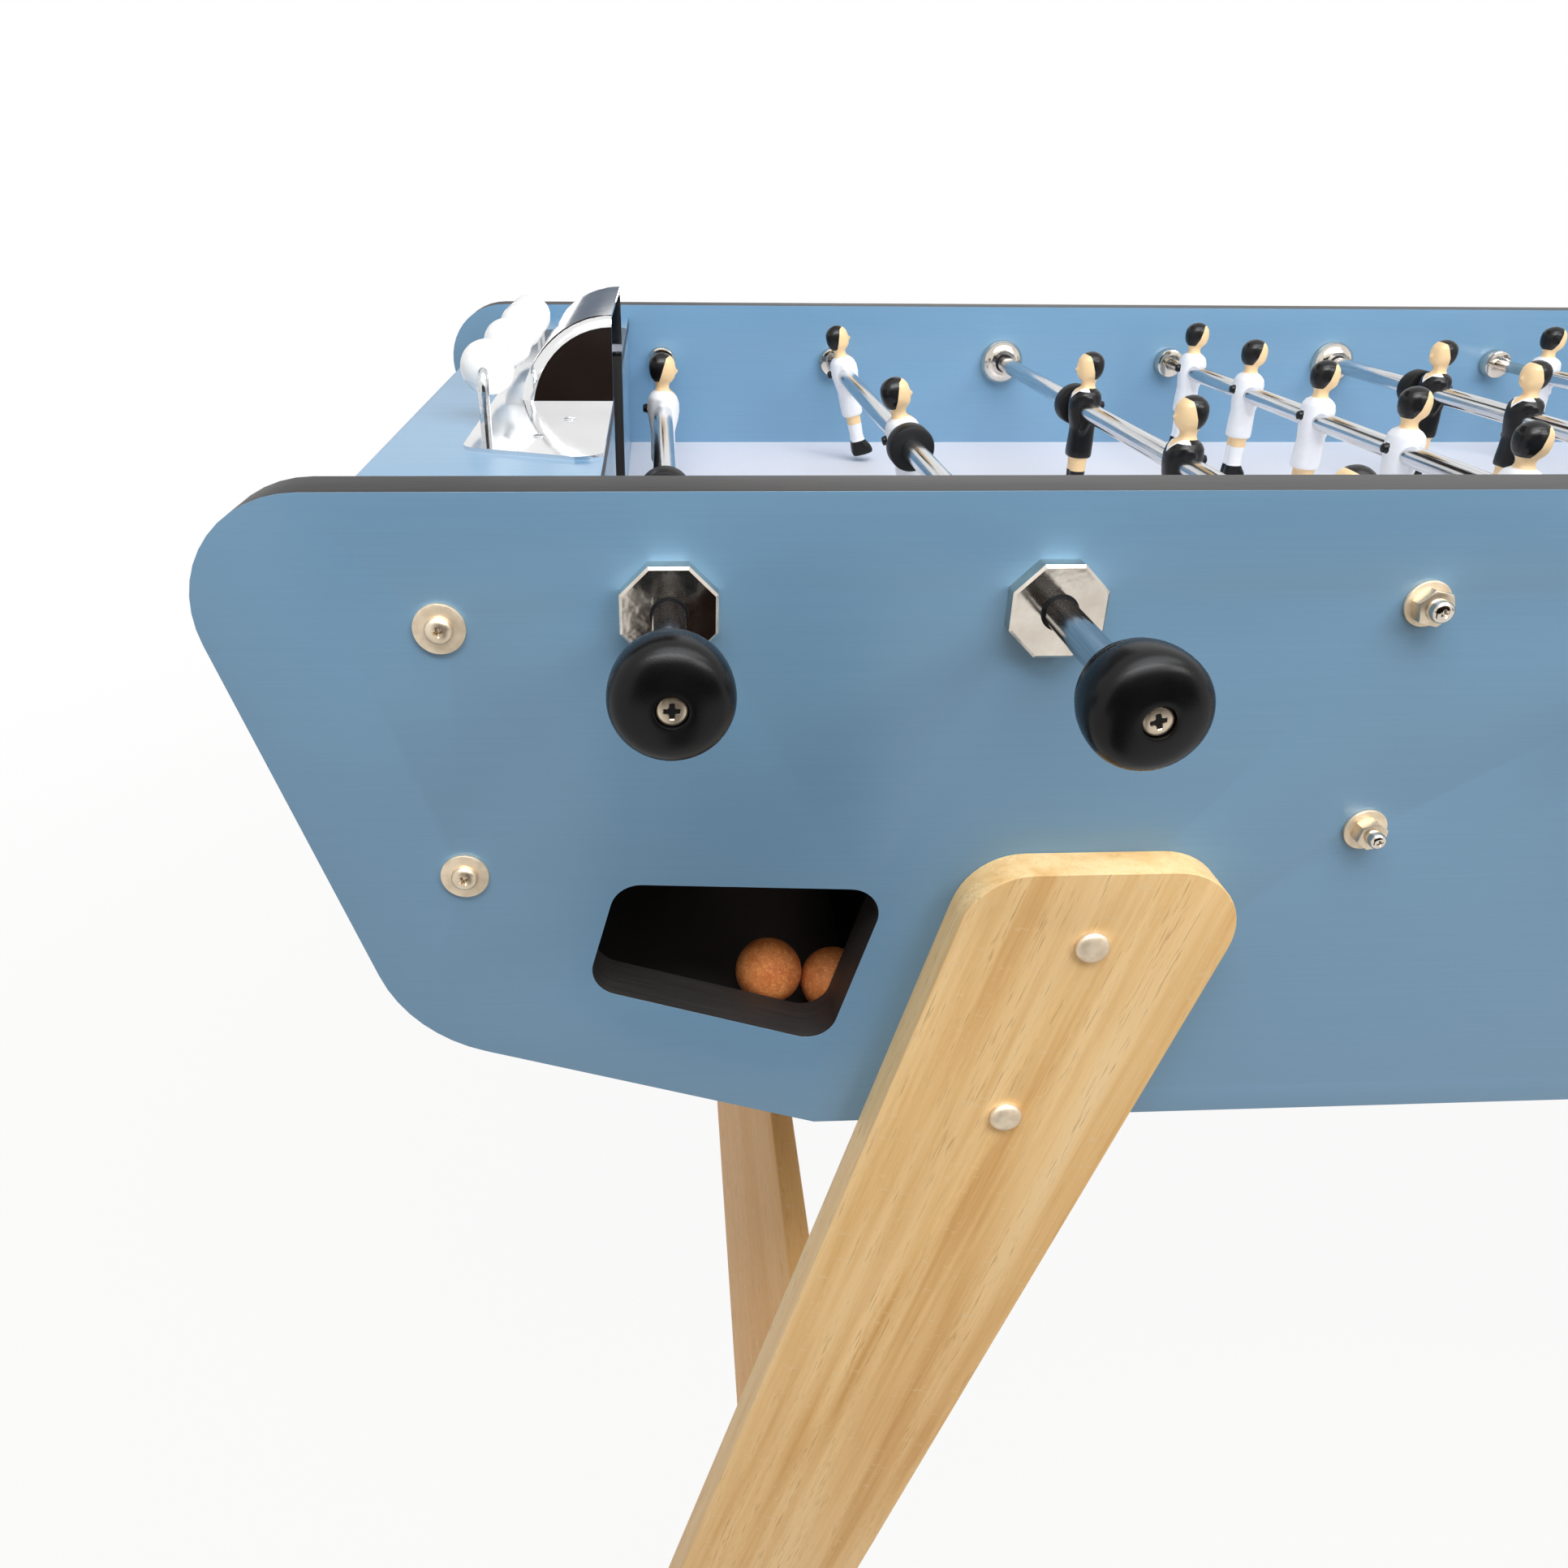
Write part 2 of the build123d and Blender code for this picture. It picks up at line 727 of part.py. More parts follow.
def figure():
    """Playing figure about the bar axis, facing +X, with its feet down."""
    shoulder_top = figure_shoulder_rise
    torso = upright_oval(figure_torso_depth, 2 * figure_half_width, -figure_waist_drop, shoulder_top)
    torso = fillet(torso.edges().group_by(Axis.Z)[-1], figure_shoulder_rounding)
    shorts = upright_oval(figure_shorts_depth, figure_shorts_width, -figure_hem_drop, -figure_waist_drop)
    legs = upright_oval(figure_leg_depth, figure_leg_width, -figure_foot_drop, -figure_hem_drop)
    body = torso + shorts + legs
    shoe = upright_oval(figure_shoe_length, figure_leg_width, -figure_foot_drop, -figure_ankle_drop)
    body += Pos(figure_toe_reach, 0, 0) * shoe
    neck_top = shoulder_top + figure_head_tall / 2
    body += Pos(0, 0, neck_top / 2) * Cylinder(figure_neck_radius, neck_top)
    crown = figure_chin_rise + figure_head_tall
    head = upright_oval(figure_head_depth, figure_head_depth, figure_chin_rise, crown)
    body += fillet(head.edges().filter_by(GeomType.CIRCLE), figure_head_rounding)
    screw = Rot(0, 90, 0) * Cylinder(figure_screw_radius, figure_screw_reach)
    body += Pos(-figure_screw_reach / 2, 0, figure_screw_rise) * screw
    return body - along_y(tube_radius + running_clearance, -2 * figure_half_width, 2 * figure_half_width)


def upright_oval(depth, width, low, high):
    """Upright post with a round-ended section, depth along X and width along Y."""
    if width > depth:
        outline = Rot(0, 0, 90) * SlotOverall(width, depth)
    elif depth > width:
        outline = SlotOverall(depth, width)
    else:
        outline = Circle(depth / 2)
    return extrude(Pos(0, 0, low) * outline, amount=high - low)


def bearing_bush():
    """Bush that turns with the tube, held by its collar between the flange and the cup."""
    start = -outer_face - flange_thickness - bush_lip
    end = -inner_face + cup_height + bush_lip
    middle = -(inner_face + outer_face) / 2
    sleeve = along_y(bush_radius, start, end)
    collar = along_y(bush_collar_radius, middle - bush_collar_length / 2, middle + bush_collar_length / 2)
    bore = along_y(tube_radius + running_clearance, start - cut_overrun, end + cut_overrun)
    return sleeve + collar - bore


def bearing_flange():
    """Eight-sided flange on the outside of the front panel."""
    flat_turn = 180 / flange_sides
    outline = Rot(0, 0, flat_turn) * RegularPolygon(flange_across_flats / 2, flange_sides, major_radius=False)
    face = Plane((0, -outer_face, 0), x_dir=(1, 0, 0), z_dir=(0, -1, 0)) * outline
    flange = extrude(face, amount=flange_thickness)
    flange = chamfer(flange.faces().sort_by(Axis.Y)[0].edges(), flange_chamfer)
    hole = bush_radius + running_clearance
    start = -outer_face - flange_thickness - cut_overrun
    return flange - along_y(hole, start, -outer_face + cut_overrun)


def bearing_cup():
    """Domed cup on the inside of the front panel."""
    base = -inner_face
    tip = base + cup_height
    bulge_radius = cup_nose_radius + (cup_radius - cup_nose_radius) * cup_bulge_share
    profile = make_face(
        Polyline((0, tip), (0, base), (cup_radius, base))
        + ThreePointArc(
            (cup_radius, base),
            (bulge_radius, base + cup_height * cup_bulge_share),
            (cup_nose_radius, tip),
        )
        + Polyline((cup_nose_radius, tip), (0, tip))
    )
    cup = revolve(profile, Axis.Y)
    return cup - along_y(bush_radius + running_clearance, base - cut_overrun, tip + cut_overrun)


def inner_rod():
    """Fixed rod inside the tube, anchored in the wall across from the handle."""
    return half_turn * rod_tip(rod_radius, 0, 0, rod_engagement)


def bar_place(index):
    """Place of a bar in its middle position, turned round for a rear handle."""
    turn = 0 if bars[index]["handle"] == front else 180
    return Pos(bar_x(index), 0, bar_height) * Rot(0, 0, turn)


def save_bars():
    body = figure()
    for index, bar in enumerate(bars):
        count = bar["figures"]
        name = f"bar_{index + 1}"
        place = bar_place(index)
        slid = place * Pos(0, bar["push"] * inward_travel(count), 0) * Rot(0, bar["turn"], 0)
        save(f"{name}_bush", place * bearing_bush())
        save(f"{name}_tube", slid * bar_tube(count))
        save(f"{name}_figures", *[slid * Pos(0, y, 0) * body for y in figure_places(count)])
        fittings = (bar_grip(count), grip_screw(count), stop_ring(count))
        save(f"{name}_grip_and_stop", *[slid * piece for piece in fittings])


def main():
    os.makedirs("parts", exist_ok=True)
    panel = front_panel()
    save("side_panel_front", panel)
    save("side_panel_rear", half_turn * panel)
    save("playfield", playfield())
    save("goal_walls", *both_ends(goal_wall()))
    save("end_boards", *both_ends(end_board()))
    save("end_decks", *both_ends(end_deck()))
    save("ball_trays", *both_ends(ball_tray()))
    save("goal_hoods", *both_ends(goal_hood()))
    save("score_plates", *both_ends(score_plate()))
    save("score_bars", *both_ends(score_bar()))
    for number, group in enumerate(bead_places()):
        beads = [bead(y) for y in group]
        save(f"score_beads_left_{number + 1}", *beads)
        save(f"score_beads_right_{number + 1}", *[half_turn * piece for piece in beads])
    save("balls", *balls())
    leg = front_leg()
    other_leg = mirror(leg, about=Plane.YZ)
    save("leg_front_left", leg)
    save("leg_front_right", other_leg)
    save("leg_rear_right", half_turn * leg)
    save("leg_rear_left", half_turn * other_leg)
    pads = both_ends(leg_pad())
    save("leg_pads", *pads, *[mirror(pad, about=Plane.YZ) for pad in pads])
    save("leg_stretchers", *both_ends(stretcher()))
    save("inner_rods", *[bar_place(index) * inner_rod() for index in range(bar_count)])
    bearings = (bearing_flange(), bearing_cup())
    save("bar_flanges", *[bar_place(index) * piece for index in range(bar_count) for piece in bearings])
    save("tie_rods", *both_ends(tie_rod()))
    nuts = front_rod_nuts()
    save("rod_nuts", *nuts, *[half_turn * piece for piece in nuts])
    screws = front_panel_screws()
    save("panel_screws", *screws, *[half_turn * piece for piece in screws])
    save_bars()


main()
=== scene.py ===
from math import atan2, cos, pi, radians, sin, sqrt

import bmesh
import bpy
from mathutils import Matrix, Vector


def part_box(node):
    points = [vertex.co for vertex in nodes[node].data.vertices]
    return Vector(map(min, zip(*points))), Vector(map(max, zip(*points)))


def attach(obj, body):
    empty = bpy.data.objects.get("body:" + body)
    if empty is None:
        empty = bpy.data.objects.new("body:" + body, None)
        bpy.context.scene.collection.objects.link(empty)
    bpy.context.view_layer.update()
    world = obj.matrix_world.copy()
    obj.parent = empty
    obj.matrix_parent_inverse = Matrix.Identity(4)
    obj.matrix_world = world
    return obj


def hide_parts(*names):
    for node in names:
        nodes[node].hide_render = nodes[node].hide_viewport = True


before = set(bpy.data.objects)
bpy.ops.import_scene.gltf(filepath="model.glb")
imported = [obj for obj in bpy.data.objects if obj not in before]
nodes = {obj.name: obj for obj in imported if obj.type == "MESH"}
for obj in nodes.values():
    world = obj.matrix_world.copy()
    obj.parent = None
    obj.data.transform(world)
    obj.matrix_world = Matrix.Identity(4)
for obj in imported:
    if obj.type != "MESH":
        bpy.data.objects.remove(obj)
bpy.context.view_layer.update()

# Places and sizes shared with the solids, in metres
mm = 0.001
panel_top = 880 * mm
inner_face = 341 * mm
outer_face = 368.5 * mm
bar_height = 830.5 * mm
bar_pitch = 165 * mm
goalie_x = -577.5 * mm
plate_top = 870 * mm
washer_thickness = 2 * mm
nut_thickness = 6.5 * mm
flange_thickness = 9 * mm
cup_height = 14 * mm
anchor_seat_length = 12 * mm
end_play = 3 * mm
figure_half_width = 14 * mm
tube_tail = 2 * mm
keeper_travel = 80 * mm
keeper_pull = 66 * mm
grip_spare = 22 * mm
keeper_grip_spare = 55 * mm
stop_length = 16 * mm
stop_gap = 0.3 * mm
leg_thickness = 20 * mm
leg_lean = radians(15.53)
end_screw_x = goalie_x - 96.5 * mm
end_screw_drops = (57.5 * mm, 180 * mm)
leg_bolt_drops = (214 * mm, 320 * mm)
tie_rod_place = (goalie_x + 332 * mm, panel_top - 163 * mm)
bead_diameter = 30 * mm
bead_step = 30.3 * mm
score_bar_x = goalie_x - 98 * mm
score_bar_z = plate_top + 26 * mm
first_bead_y = -151.2 * mm
bead_group_counts = (1, 1, 3)
bead_group_gaps = (70 * mm, 57 * mm)

# Bars from left to right: figures, handle at the front or rear, push away from the handle as a share
# of the bar's travel, and turn
front = 1
rear = -1
bars = (
    dict(figures=1, handle=front, push=0.92, turn=0.0),
    dict(figures=2, handle=front, push=0.687, turn=radians(-15)),
    dict(figures=3, handle=rear, push=0.861, turn=0.0),
    dict(figures=5, handle=front, push=0.636, turn=0.0),
    dict(figures=5, handle=rear, push=0.844, turn=0.0),
    dict(figures=3, handle=front, push=0.62, turn=0.0),
    dict(figures=2, handle=rear, push=0.687, turn=0.0),
    dict(figures=1, handle=rear, push=0.8, turn=0.0),
)
figure_pitch_shares = {1: 0.0, 2: 0.418, 3: 0.2808, 5: 0.1708}

# Heights on a figure above the bar axis, and the nub on its back
shorts_hem = -36.2 * mm
shoe_top = -60 * mm
neckline = 16.4 * mm
collar_width = 2.2 * mm
chin = 23 * mm
nub_height = 3 * mm
nub_radius = 3.2 * mm


# Shader expressions
def shade(red, green, blue):
    """Colour written as 0 to 255 on screen, as the linear colour that a shader takes."""
    screen = [value / 255 for value in (red, green, blue)]
    linear = [value / 12.92 if value <= 0.04045 else ((value + 0.055) / 1.055) ** 2.4 for value in screen]
    return (*linear, 1.0)


kit_white = shade(240, 241, 244)


class Wire:
    """A node's output that takes part in Python arithmetic."""

    def __init__(self, sheet, socket):
        self.sheet = sheet
        self.socket = socket

    def maths(self, operation, first, second=0.0):
        return self.sheet.node("ShaderNodeMath", {"operation": operation}, {0: first, 1: second})

    def __add__(self, other):
        return self.maths("ADD", self, other)

    def __radd__(self, other):
        return self.maths("ADD", other, self)

    def __sub__(self, other):
        return self.maths("SUBTRACT", self, other)

    def __rsub__(self, other):
        return self.maths("SUBTRACT", other, self)

    def __mul__(self, other):
        return self.maths("MULTIPLY", self, other)

    def __rmul__(self, other):
        return self.maths("MULTIPLY", other, self)

    def __gt__(self, other):
        return self.maths("GREATER_THAN", self, other)

    def __lt__(self, other):
        return self.maths("LESS_THAN", self, other)

    def __abs__(self):
        return self.maths("ABSOLUTE", self)

    def most(self, other):
        return self.maths("MAXIMUM", self, other)

    def least(self, other):
        return self.maths("MINIMUM", self, other)


class NodeSheet:
    """A node tree that grows by expressions."""

    def __init__(self, tree):
        self.tree = tree

    def node(self, kind, settings=None, inputs=None, output=0):
        node = self.tree.nodes.new(kind)
        for label, value in (settings or {}).items():
            if label == "stops":
                set_stops(node.color_ramp, value)
            else:
                setattr(node, label, value)
        for label, value in (inputs or {}).items():
            if isinstance(value, Wire):
                self.tree.links.new(value.socket, node.inputs[label])
            else:
                node.inputs[label].default_value = value
        return Wire(self, node.outputs[output]) if node.outputs else None

    def mix(self, first, second, factor):
        return self.node("ShaderNodeMix", {"data_type": "RGBA"}, {0: factor, 6: first, 7: second}, 2)

    def ramp(self, factor, stops):
        return self.node("ShaderNodeValToRGB", {"stops": stops}, {"Fac": factor})

    def smooth_step(self, value, low, high):
        sizes = {"Value": value, "From Min": low, "From Max": high}
        return self.node("ShaderNodeMapRange", {"interpolation_type": "SMOOTHSTEP"}, sizes)

    def place(self, size=(1, 1, 1), turn=(0, 0, 0)):
        """Object coordinates, turned and then divided by the size of one pattern unit."""
        spot = self.node("ShaderNodeTexCoord", output="Object")
        fit = {"Vector": spot, "Rotation": turn, "Scale": size}
        return self.node("ShaderNodeMapping", {"vector_type": "TEXTURE"}, fit)

    def noise(self, place, detail=2.0, roughness=0.5, distortion=0.0):
        values = {"Vector": place, "Scale": 1.0, "Detail": detail}
        values["Roughness"] = roughness
        values["Distortion"] = distortion
        return self.node("ShaderNodeTexNoise", {}, values)

    def even_noise(self, size, detail=2.0, roughness=0.5):
        """Noise with lumps of one size all ways."""
        return self.noise(self.place((size, size, size)), detail, roughness)

    def axes(self, vector):
        node = self.node("ShaderNodeSeparateXYZ", {}, {"Vector": vector}).socket.node
        return [Wire(self, output) for output in node.outputs]

    def facing(self):
        """The three parts of the surface's own direction."""
        return self.axes(self.node("ShaderNodeTexCoord", output="Normal"))

    def seen(self):
        """1 where the camera, a glossy surface or a clear one looks, and 0 for the light that is given."""
        paths = self.node("ShaderNodeLightPath").socket.node.outputs
        looks = [Wire(self, paths[f"Is {kind} Ray"]) for kind in ("Camera", "Glossy", "Transmission")]
        return (looks[0] + looks[1] + looks[2]).least(1.0)


def set_stops(color_ramp, stops):
    while len(color_ramp.elements) < len(stops):
        color_ramp.elements.new(1.0)
    for element, (position, colour) in zip(color_ramp.elements, stops):
        element.position = position
        element.color = colour


class Finish(NodeSheet):
    """A material with one main shader. Its constant settings go on the shader's own sockets."""

    def __init__(self, name, **constants):
        self.material = bpy.data.materials.new(name)
        self.material.use_nodes = True
        super().__init__(self.material.node_tree)
        self.shader = self.tree.nodes["Principled BSDF"]
        for label, value in constants.items():
            self.shader.inputs[label.replace("_", " ")].default_value = value

    def feed(self, label, wire):
        self.tree.links.new(wire.socket, self.shader.inputs[label])

    def bump(self, height, distance, strength=1.0):
        values = {"Height": height, "Distance": distance, "Strength": strength}
        self.feed("Normal", self.node("ShaderNodeBump", {}, values))


# Finishes
def blue_laminate(name, face_axis):
    """Blue laminate on the two faces across one axis, with a dark core on every edge."""
    finish = Finish(name)
    streak_size = [90 * mm, 90 * mm, 90 * mm]
    streak_size[2 if face_axis == 1 else 1] = 1.6 * mm
    streaks = finish.noise(finish.place(streak_size), 3.0, 0.6)
    clouds = finish.even_noise(350 * mm, 1.0)
    tone = streaks * 0.4 + clouds * 0.6
    blue = finish.ramp(
        tone, [(0.3, shade(109, 148, 178)), (0.5, shade(112, 151, 181)), (0.7, shade(115, 154, 184))]
    )
    layer_size = [60 * mm, 60 * mm, 60 * mm]
    layer_size[face_axis] = 1.4 * mm
    layers = finish.noise(finish.place(layer_size), 3.0, 0.6)
    core = finish.ramp(layers, [(0.3, shade(22, 21, 21)), (0.7, shade(46, 43, 41))])
    edge = abs(finish.facing()[face_axis]) < 0.6
    finish.feed("Base Color", finish.mix(blue, core, edge))
    finish.feed("Roughness", 0.2 + streaks * 0.08 + edge * 0.26)
    finish.bump(streaks * (1 - edge) + layers * edge * 8, 0.03 * mm, 0.4)
    return finish.material


def pale_field():
    finish = Finish("pale field")
    speckle = finish.even_noise(0.9 * mm)
    clouds = finish.even_noise(200 * mm)
    scuffs = finish.noise(finish.place((60 * mm, 5 * mm, 60 * mm)), 4.0, 0.6)
    tone = speckle * 0.3 + clouds * 0.5 + scuffs * 0.2
    finish.feed("Base Color", finish.ramp(tone, [(0.35, shade(217, 216, 223)), (0.65, shade(227, 226, 232))]))
    finish.feed("Roughness", 0.28 + scuffs * 0.2)
    finish.bump(speckle, 0.03 * mm, 0.4)
    return finish.material


def black_board():
    finish = Finish("black board")
    grain = finish.even_noise(1.2 * mm, 3.0)
    clouds = finish.even_noise(80 * mm)
    tone = grain * 0.4 + clouds * 0.6
    finish.feed("Base Color", finish.ramp(tone, [(0.3, shade(14, 13, 13)), (0.7, shade(24, 22, 22))]))
    finish.feed("Roughness", 0.32 + grain * 0.18)
    finish.bump(grain, 0.04 * mm, 0.4)
    return finish.material


def polished_sheet():
    """Mirror-polished sheet with faint wipe marks."""
    finish = Finish("polished sheet", Metallic=1.0)
    wipes = finish.noise(finish.place((50 * mm, 8 * mm, 50 * mm)), 4.0, 0.6)
    smears = finish.even_noise(70 * mm)
    finish.feed("Base Color", finish.ramp(smears, [(0.3, shade(222, 222, 224)), (0.7, shade(238, 238, 238))]))
    finish.feed("Roughness", 0.04 + wipes * 0.08)
    return finish.material


def chrome_bar():
    """Chrome tube with fine marks along its length."""
    finish = Finish("chrome bar", Metallic=1.0)
    marks = finish.noise(finish.place((1.5 * mm, 45 * mm, 1.5 * mm)), 3.0, 0.6)
    rings = finish.noise(finish.place((30 * mm, 3 * mm, 30 * mm)), 2.0)
    finish.feed("Base Color", finish.ramp(marks, [(0.3, shade(196, 198, 201)), (0.7, shade(224, 225, 226))]))
    finish.feed("Roughness", 0.08 + marks * 0.1 + rings * 0.05)
    return finish.material


def nickel_casting():
    """Plated flanges, cups and rods, a little less even than the tubes."""
    finish = Finish("nickel casting", Metallic=1.0)
    waves = finish.even_noise(14 * mm, 3.0, 0.55)
    pits = finish.even_noise(1.4 * mm)
    finish.feed("Base Color", finish.ramp(waves, [(0.3, shade(204, 194, 181)), (0.7, shade(226, 218, 206))]))
    finish.feed("Roughness", 0.04 + waves * 0.1 + pits * 0.04)
    finish.bump(waves, 0.3 * mm, 0.5)
    return finish.material


def zinc_fastener(name, low_roughness):
    """Warm zinc plating of screws, bolts, nuts and washers."""
    finish = Finish(name, Metallic=1.0)
    cloud = finish.even_noise(6 * mm, 3.0)
    scratches = finish.noise(finish.place((0.5 * mm, 4 * mm, 2.5 * mm)), 3.0, 0.6)
    finish.feed("Base Color", finish.ramp(cloud, [(0.3, shade(204, 187, 162)), (0.7, shade(230, 214, 190))]))
    finish.feed("Roughness", low_roughness + scratches * 0.22)
    finish.bump(scratches, 0.03 * mm, 0.5)
    return finish.material


def black_plastic(name, low_roughness):
    """Moulded satin black."""
    finish = Finish(name, Specular_IOR_Level=0.22)
    spark = finish.even_noise(0.6 * mm)
    wear = finish.even_noise(18 * mm, 3.0)
    finish.feed("Base Color", finish.ramp(wear, [(0.3, shade(9, 9, 10)), (0.7, shade(16, 16, 17))]))
    finish.feed("Roughness", low_roughness + wear * 0.1 + spark * 0.06)
    finish.bump(spark, 0.05 * mm, 0.3)
    return finish.material


def white_bead():
    finish = Finish("white bead", Coat_Weight=0.5, Coat_Roughness=0.05)
    cloud = finish.even_noise(12 * mm)
    finish.feed("Base Color", finish.ramp(cloud, [(0.3, shade(236, 235, 233)), (0.7, shade(244, 243, 241))]))
    finish.feed("Roughness", 0.22 + cloud * 0.1)
    return finish.material


def cork():
    """Pressed cork: grains of several browns with dark gaps."""
    finish = Finish("cork", Specular_IOR_Level=0.25)
    place = finish.place((1.7 * mm, 1.7 * mm, 1.7 * mm))
    cells = {"Vector": place, "Scale": 1.0}
    grains = finish.node("ShaderNodeTexVoronoi", {}, cells, "Color")
    gaps = finish.node("ShaderNodeTexVoronoi", {"feature": "DISTANCE_TO_EDGE"}, cells, "Distance")
    grain_tone = finish.axes(grains)[0]
    blotch = finish.even_noise(9 * mm, 3.0)
    tone = grain_tone * 0.35 + blotch * 0.65
    brown = finish.ramp(
        tone, [(0.2, shade(206, 110, 50)), (0.5, shade(230, 138, 70)), (0.8, shade(243, 162, 92))]
    )
    gap = 1 - finish.smooth_step(gaps, 0.0, 0.12)
    finish.feed("Base Color", finish.mix(brown, shade(150, 80, 40), gap * 0.4))
    finish.feed("Roughness", 0.7 + grain_tone * 0.15)
    finish.bump(gaps.least(0.3) + blotch * 0.2, 0.25 * mm, 0.5)
    return finish.material


def oak(name, turn, painted_shade_share=0.0):
    """Oak with its grain along the local Z axis after the turn: soft bands, fine pores and pale flecks. A
    share of warm brown mixed in is painted shade, for boards that stand in shade.
    """
    finish = Finish(name, Specular_IOR_Level=0.2)
    bands = finish.noise(finish.place((26 * mm, 26 * mm, 420 * mm), turn), 3.0, 0.55, 0.4)
    rings = finish.noise(finish.place((7 * mm, 7 * mm, 260 * mm), turn), 3.0, 0.6, 0.3)
    pores = finish.noise(finish.place((0.8 * mm, 0.8 * mm, 20 * mm), turn), 2.0, 0.6)
    flecks = finish.noise(finish.place((9 * mm, 9 * mm, 4 * mm), turn), 2.0, 0.6)
    tone = bands * 0.55 + rings * 0.35 + pores * 0.1
    wood = finish.ramp(
        tone,
        [
            (0.34, shade(216, 167, 102)),
            (0.45, shade(236, 195, 134)),
            (0.55, shade(247, 212, 155)),
            (0.68, shade(252, 223, 174)),
        ],
    )
    # Painted shade: warm brown mixed into the wood, for boards that stand in the shade under the table
    wood = finish.mix(wood, shade(242, 174, 88), painted_shade_share)
    pore = finish.smooth_step(pores, 0.56, 0.7) * finish.smooth_step(rings, 0.4, 0.6)
    wood = finish.mix(wood, shade(174, 126, 74), pore * 0.55)
    fleck = finish.smooth_step(flecks, 0.6, 0.72)
    wood = finish.mix(wood, shade(240, 214, 170), fleck * 0.35)
    finish.feed("Base Color", wood)
    finish.feed("Roughness", 0.42 + pore * 0.2 - fleck * 0.05)
    finish.bump(rings * 0.4 - pore, 0.06 * mm, 0.5)
    return finish.material


def pad_rubber():
    finish = Finish("pad rubber", Specular_IOR_Level=0.3)
    grain = finish.even_noise(0.8 * mm)
    finish.feed("Base Color", finish.ramp(grain, [(0.3, shade(26, 26, 27)), (0.7, shade(40, 40, 41))]))
    finish.feed("Roughness", 0.6 + grain * 0.2)
    finish.bump(grain, 0.08 * mm, 0.4)
    return finish.material


def team_paint(name, kit_colour, sock_top):
    """Painted figure: hair, skin, white collar, kit, socks and shoes by their places on the figure."""
    finish = Finish(name, Specular_IOR_Level=0.15, Coat_Weight=0.3, Coat_Roughness=0.05)
    spot = finish.node("ShaderNodeAttribute", {"attribute_name": "figure_place"}, {}, "Vector")
    ahead, aside, height = finish.axes(spot)
    side = abs(aside)
    black = shade(14, 13, 13)
    skin = shade(244, 210, 160)
    neck_drop = (ahead > 2 * mm) * (6 * mm - side * 1.2).most(0.0)
    neck_height = height + neck_drop
    kit = (height > shorts_hem) * (neck_height < neckline)
    collar = kit * (neck_height > neckline - collar_width) * (ahead > 1 * mm)
    sock = (height < sock_top) * (height > shoe_top - 1 * mm)
    shoe = height < shoe_top
    nape_line = (height - 31 * mm) * 0.32
    fringe_line = (height - 38.5 * mm) * 2
    hair = (height > chin) * (ahead < nape_line.most(fringe_line))
    nub_paint = nub_radius + 0.4 * mm
    nub = (ahead < -11.6 * mm) * (side < nub_paint) * (abs(height - nub_height) < nub_paint)
    colour = finish.mix(skin, kit_colour, kit.most(sock))
    colour = finish.mix(colour, kit_white, collar)
    colour = finish.mix(colour, black, shoe.most(hair).most(nub))
    brush = finish.even_noise(5 * mm, 3.0)
    colour = finish.node(
        "ShaderNodeMix", {"data_type": "RGBA", "blend_type": "MULTIPLY"}, {0: 0.08, 6: colour, 7: brush}, 2
    )
    finish.feed("Base Color", colour)
    finish.feed("Roughness", 0.3 + brush * 0.2)
    finish.bump(brush, 0.1 * mm, 0.25)
    return finish.material


panel_blue = blue_laminate("blue laminate upright", 1)
deck_blue = blue_laminate("blue laminate level", 2)
wall_blue = blue_laminate("blue laminate across", 0)
field_finish = pale_field()
black_finish = black_board()
sheet_finish = polished_sheet()
tube_finish = chrome_bar()
casting_finish = nickel_casting()
zinc_finish = zinc_fastener("zinc fastener", 0.24)
washer_finish = zinc_fastener("zinc washer", 0.42)
grip_finish = black_plastic("satin grip", 0.2)
bush_finish = black_plastic("black bush", 0.36)
stop_finish = black_plastic("rubber stop", 0.42)
bead_finish = white_bead()
cork_finish = cork()
oak_left = oak("oak leaning right", (0, leg_lean, 0))
oak_right = oak("oak leaning left", (0, -leg_lean, 0))
# The cross boards under the table get a warmer, browner oak: painted shade
oak_cross = oak("oak crosswise with painted shade", (pi / 2, 0, 0), 0.55)
pad_finish = pad_rubber()
team_paints = {
    front: team_paint("white team", kit_white, -44 * mm),
    rear: team_paint("black team", shade(16, 15, 15), -47 * mm),
}


# Mesh helpers
cut_overshoot = 1 * mm


def piece_from(bm, name):
    mesh = bpy.data.meshes.new(name)
    bm.to_mesh(mesh)
    bm.free()
    return bpy.data.objects.new(name, mesh)


def settle(piece):
    """Give a piece the mesh that its modifiers make, and take the modifiers off."""
    collection = bpy.context.scene.collection
    collection.objects.link(piece)
    shapes = bpy.context.evaluated_depsgraph_get()
    mesh = bpy.data.meshes.new_from_object(piece.evaluated_get(shapes))
    piece.modifiers.clear()
    piece.data = mesh
    collection.objects.unlink(piece)
    return piece


def smooth(mesh, angle=radians(35)):
    mesh.shade_smooth()
    mesh.set_sharp_from_angle(angle=angle)


def show(piece, body, slot, *replaced):
    """Link a finished piece and let it ride on a body."""
    bpy.context.scene.collection.objects.link(piece)
    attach(piece, body)
    if replaced:
        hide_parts(*replaced)


def circle(bm, radius, height, steps):
    """Points of a circle about the Y axis, with height towards -Y."""
    turns = [2 * pi * step / steps for step in range(steps)]
    return [bm.verts.new((radius * cos(turn), -height, radius * sin(turn))) for turn in turns]


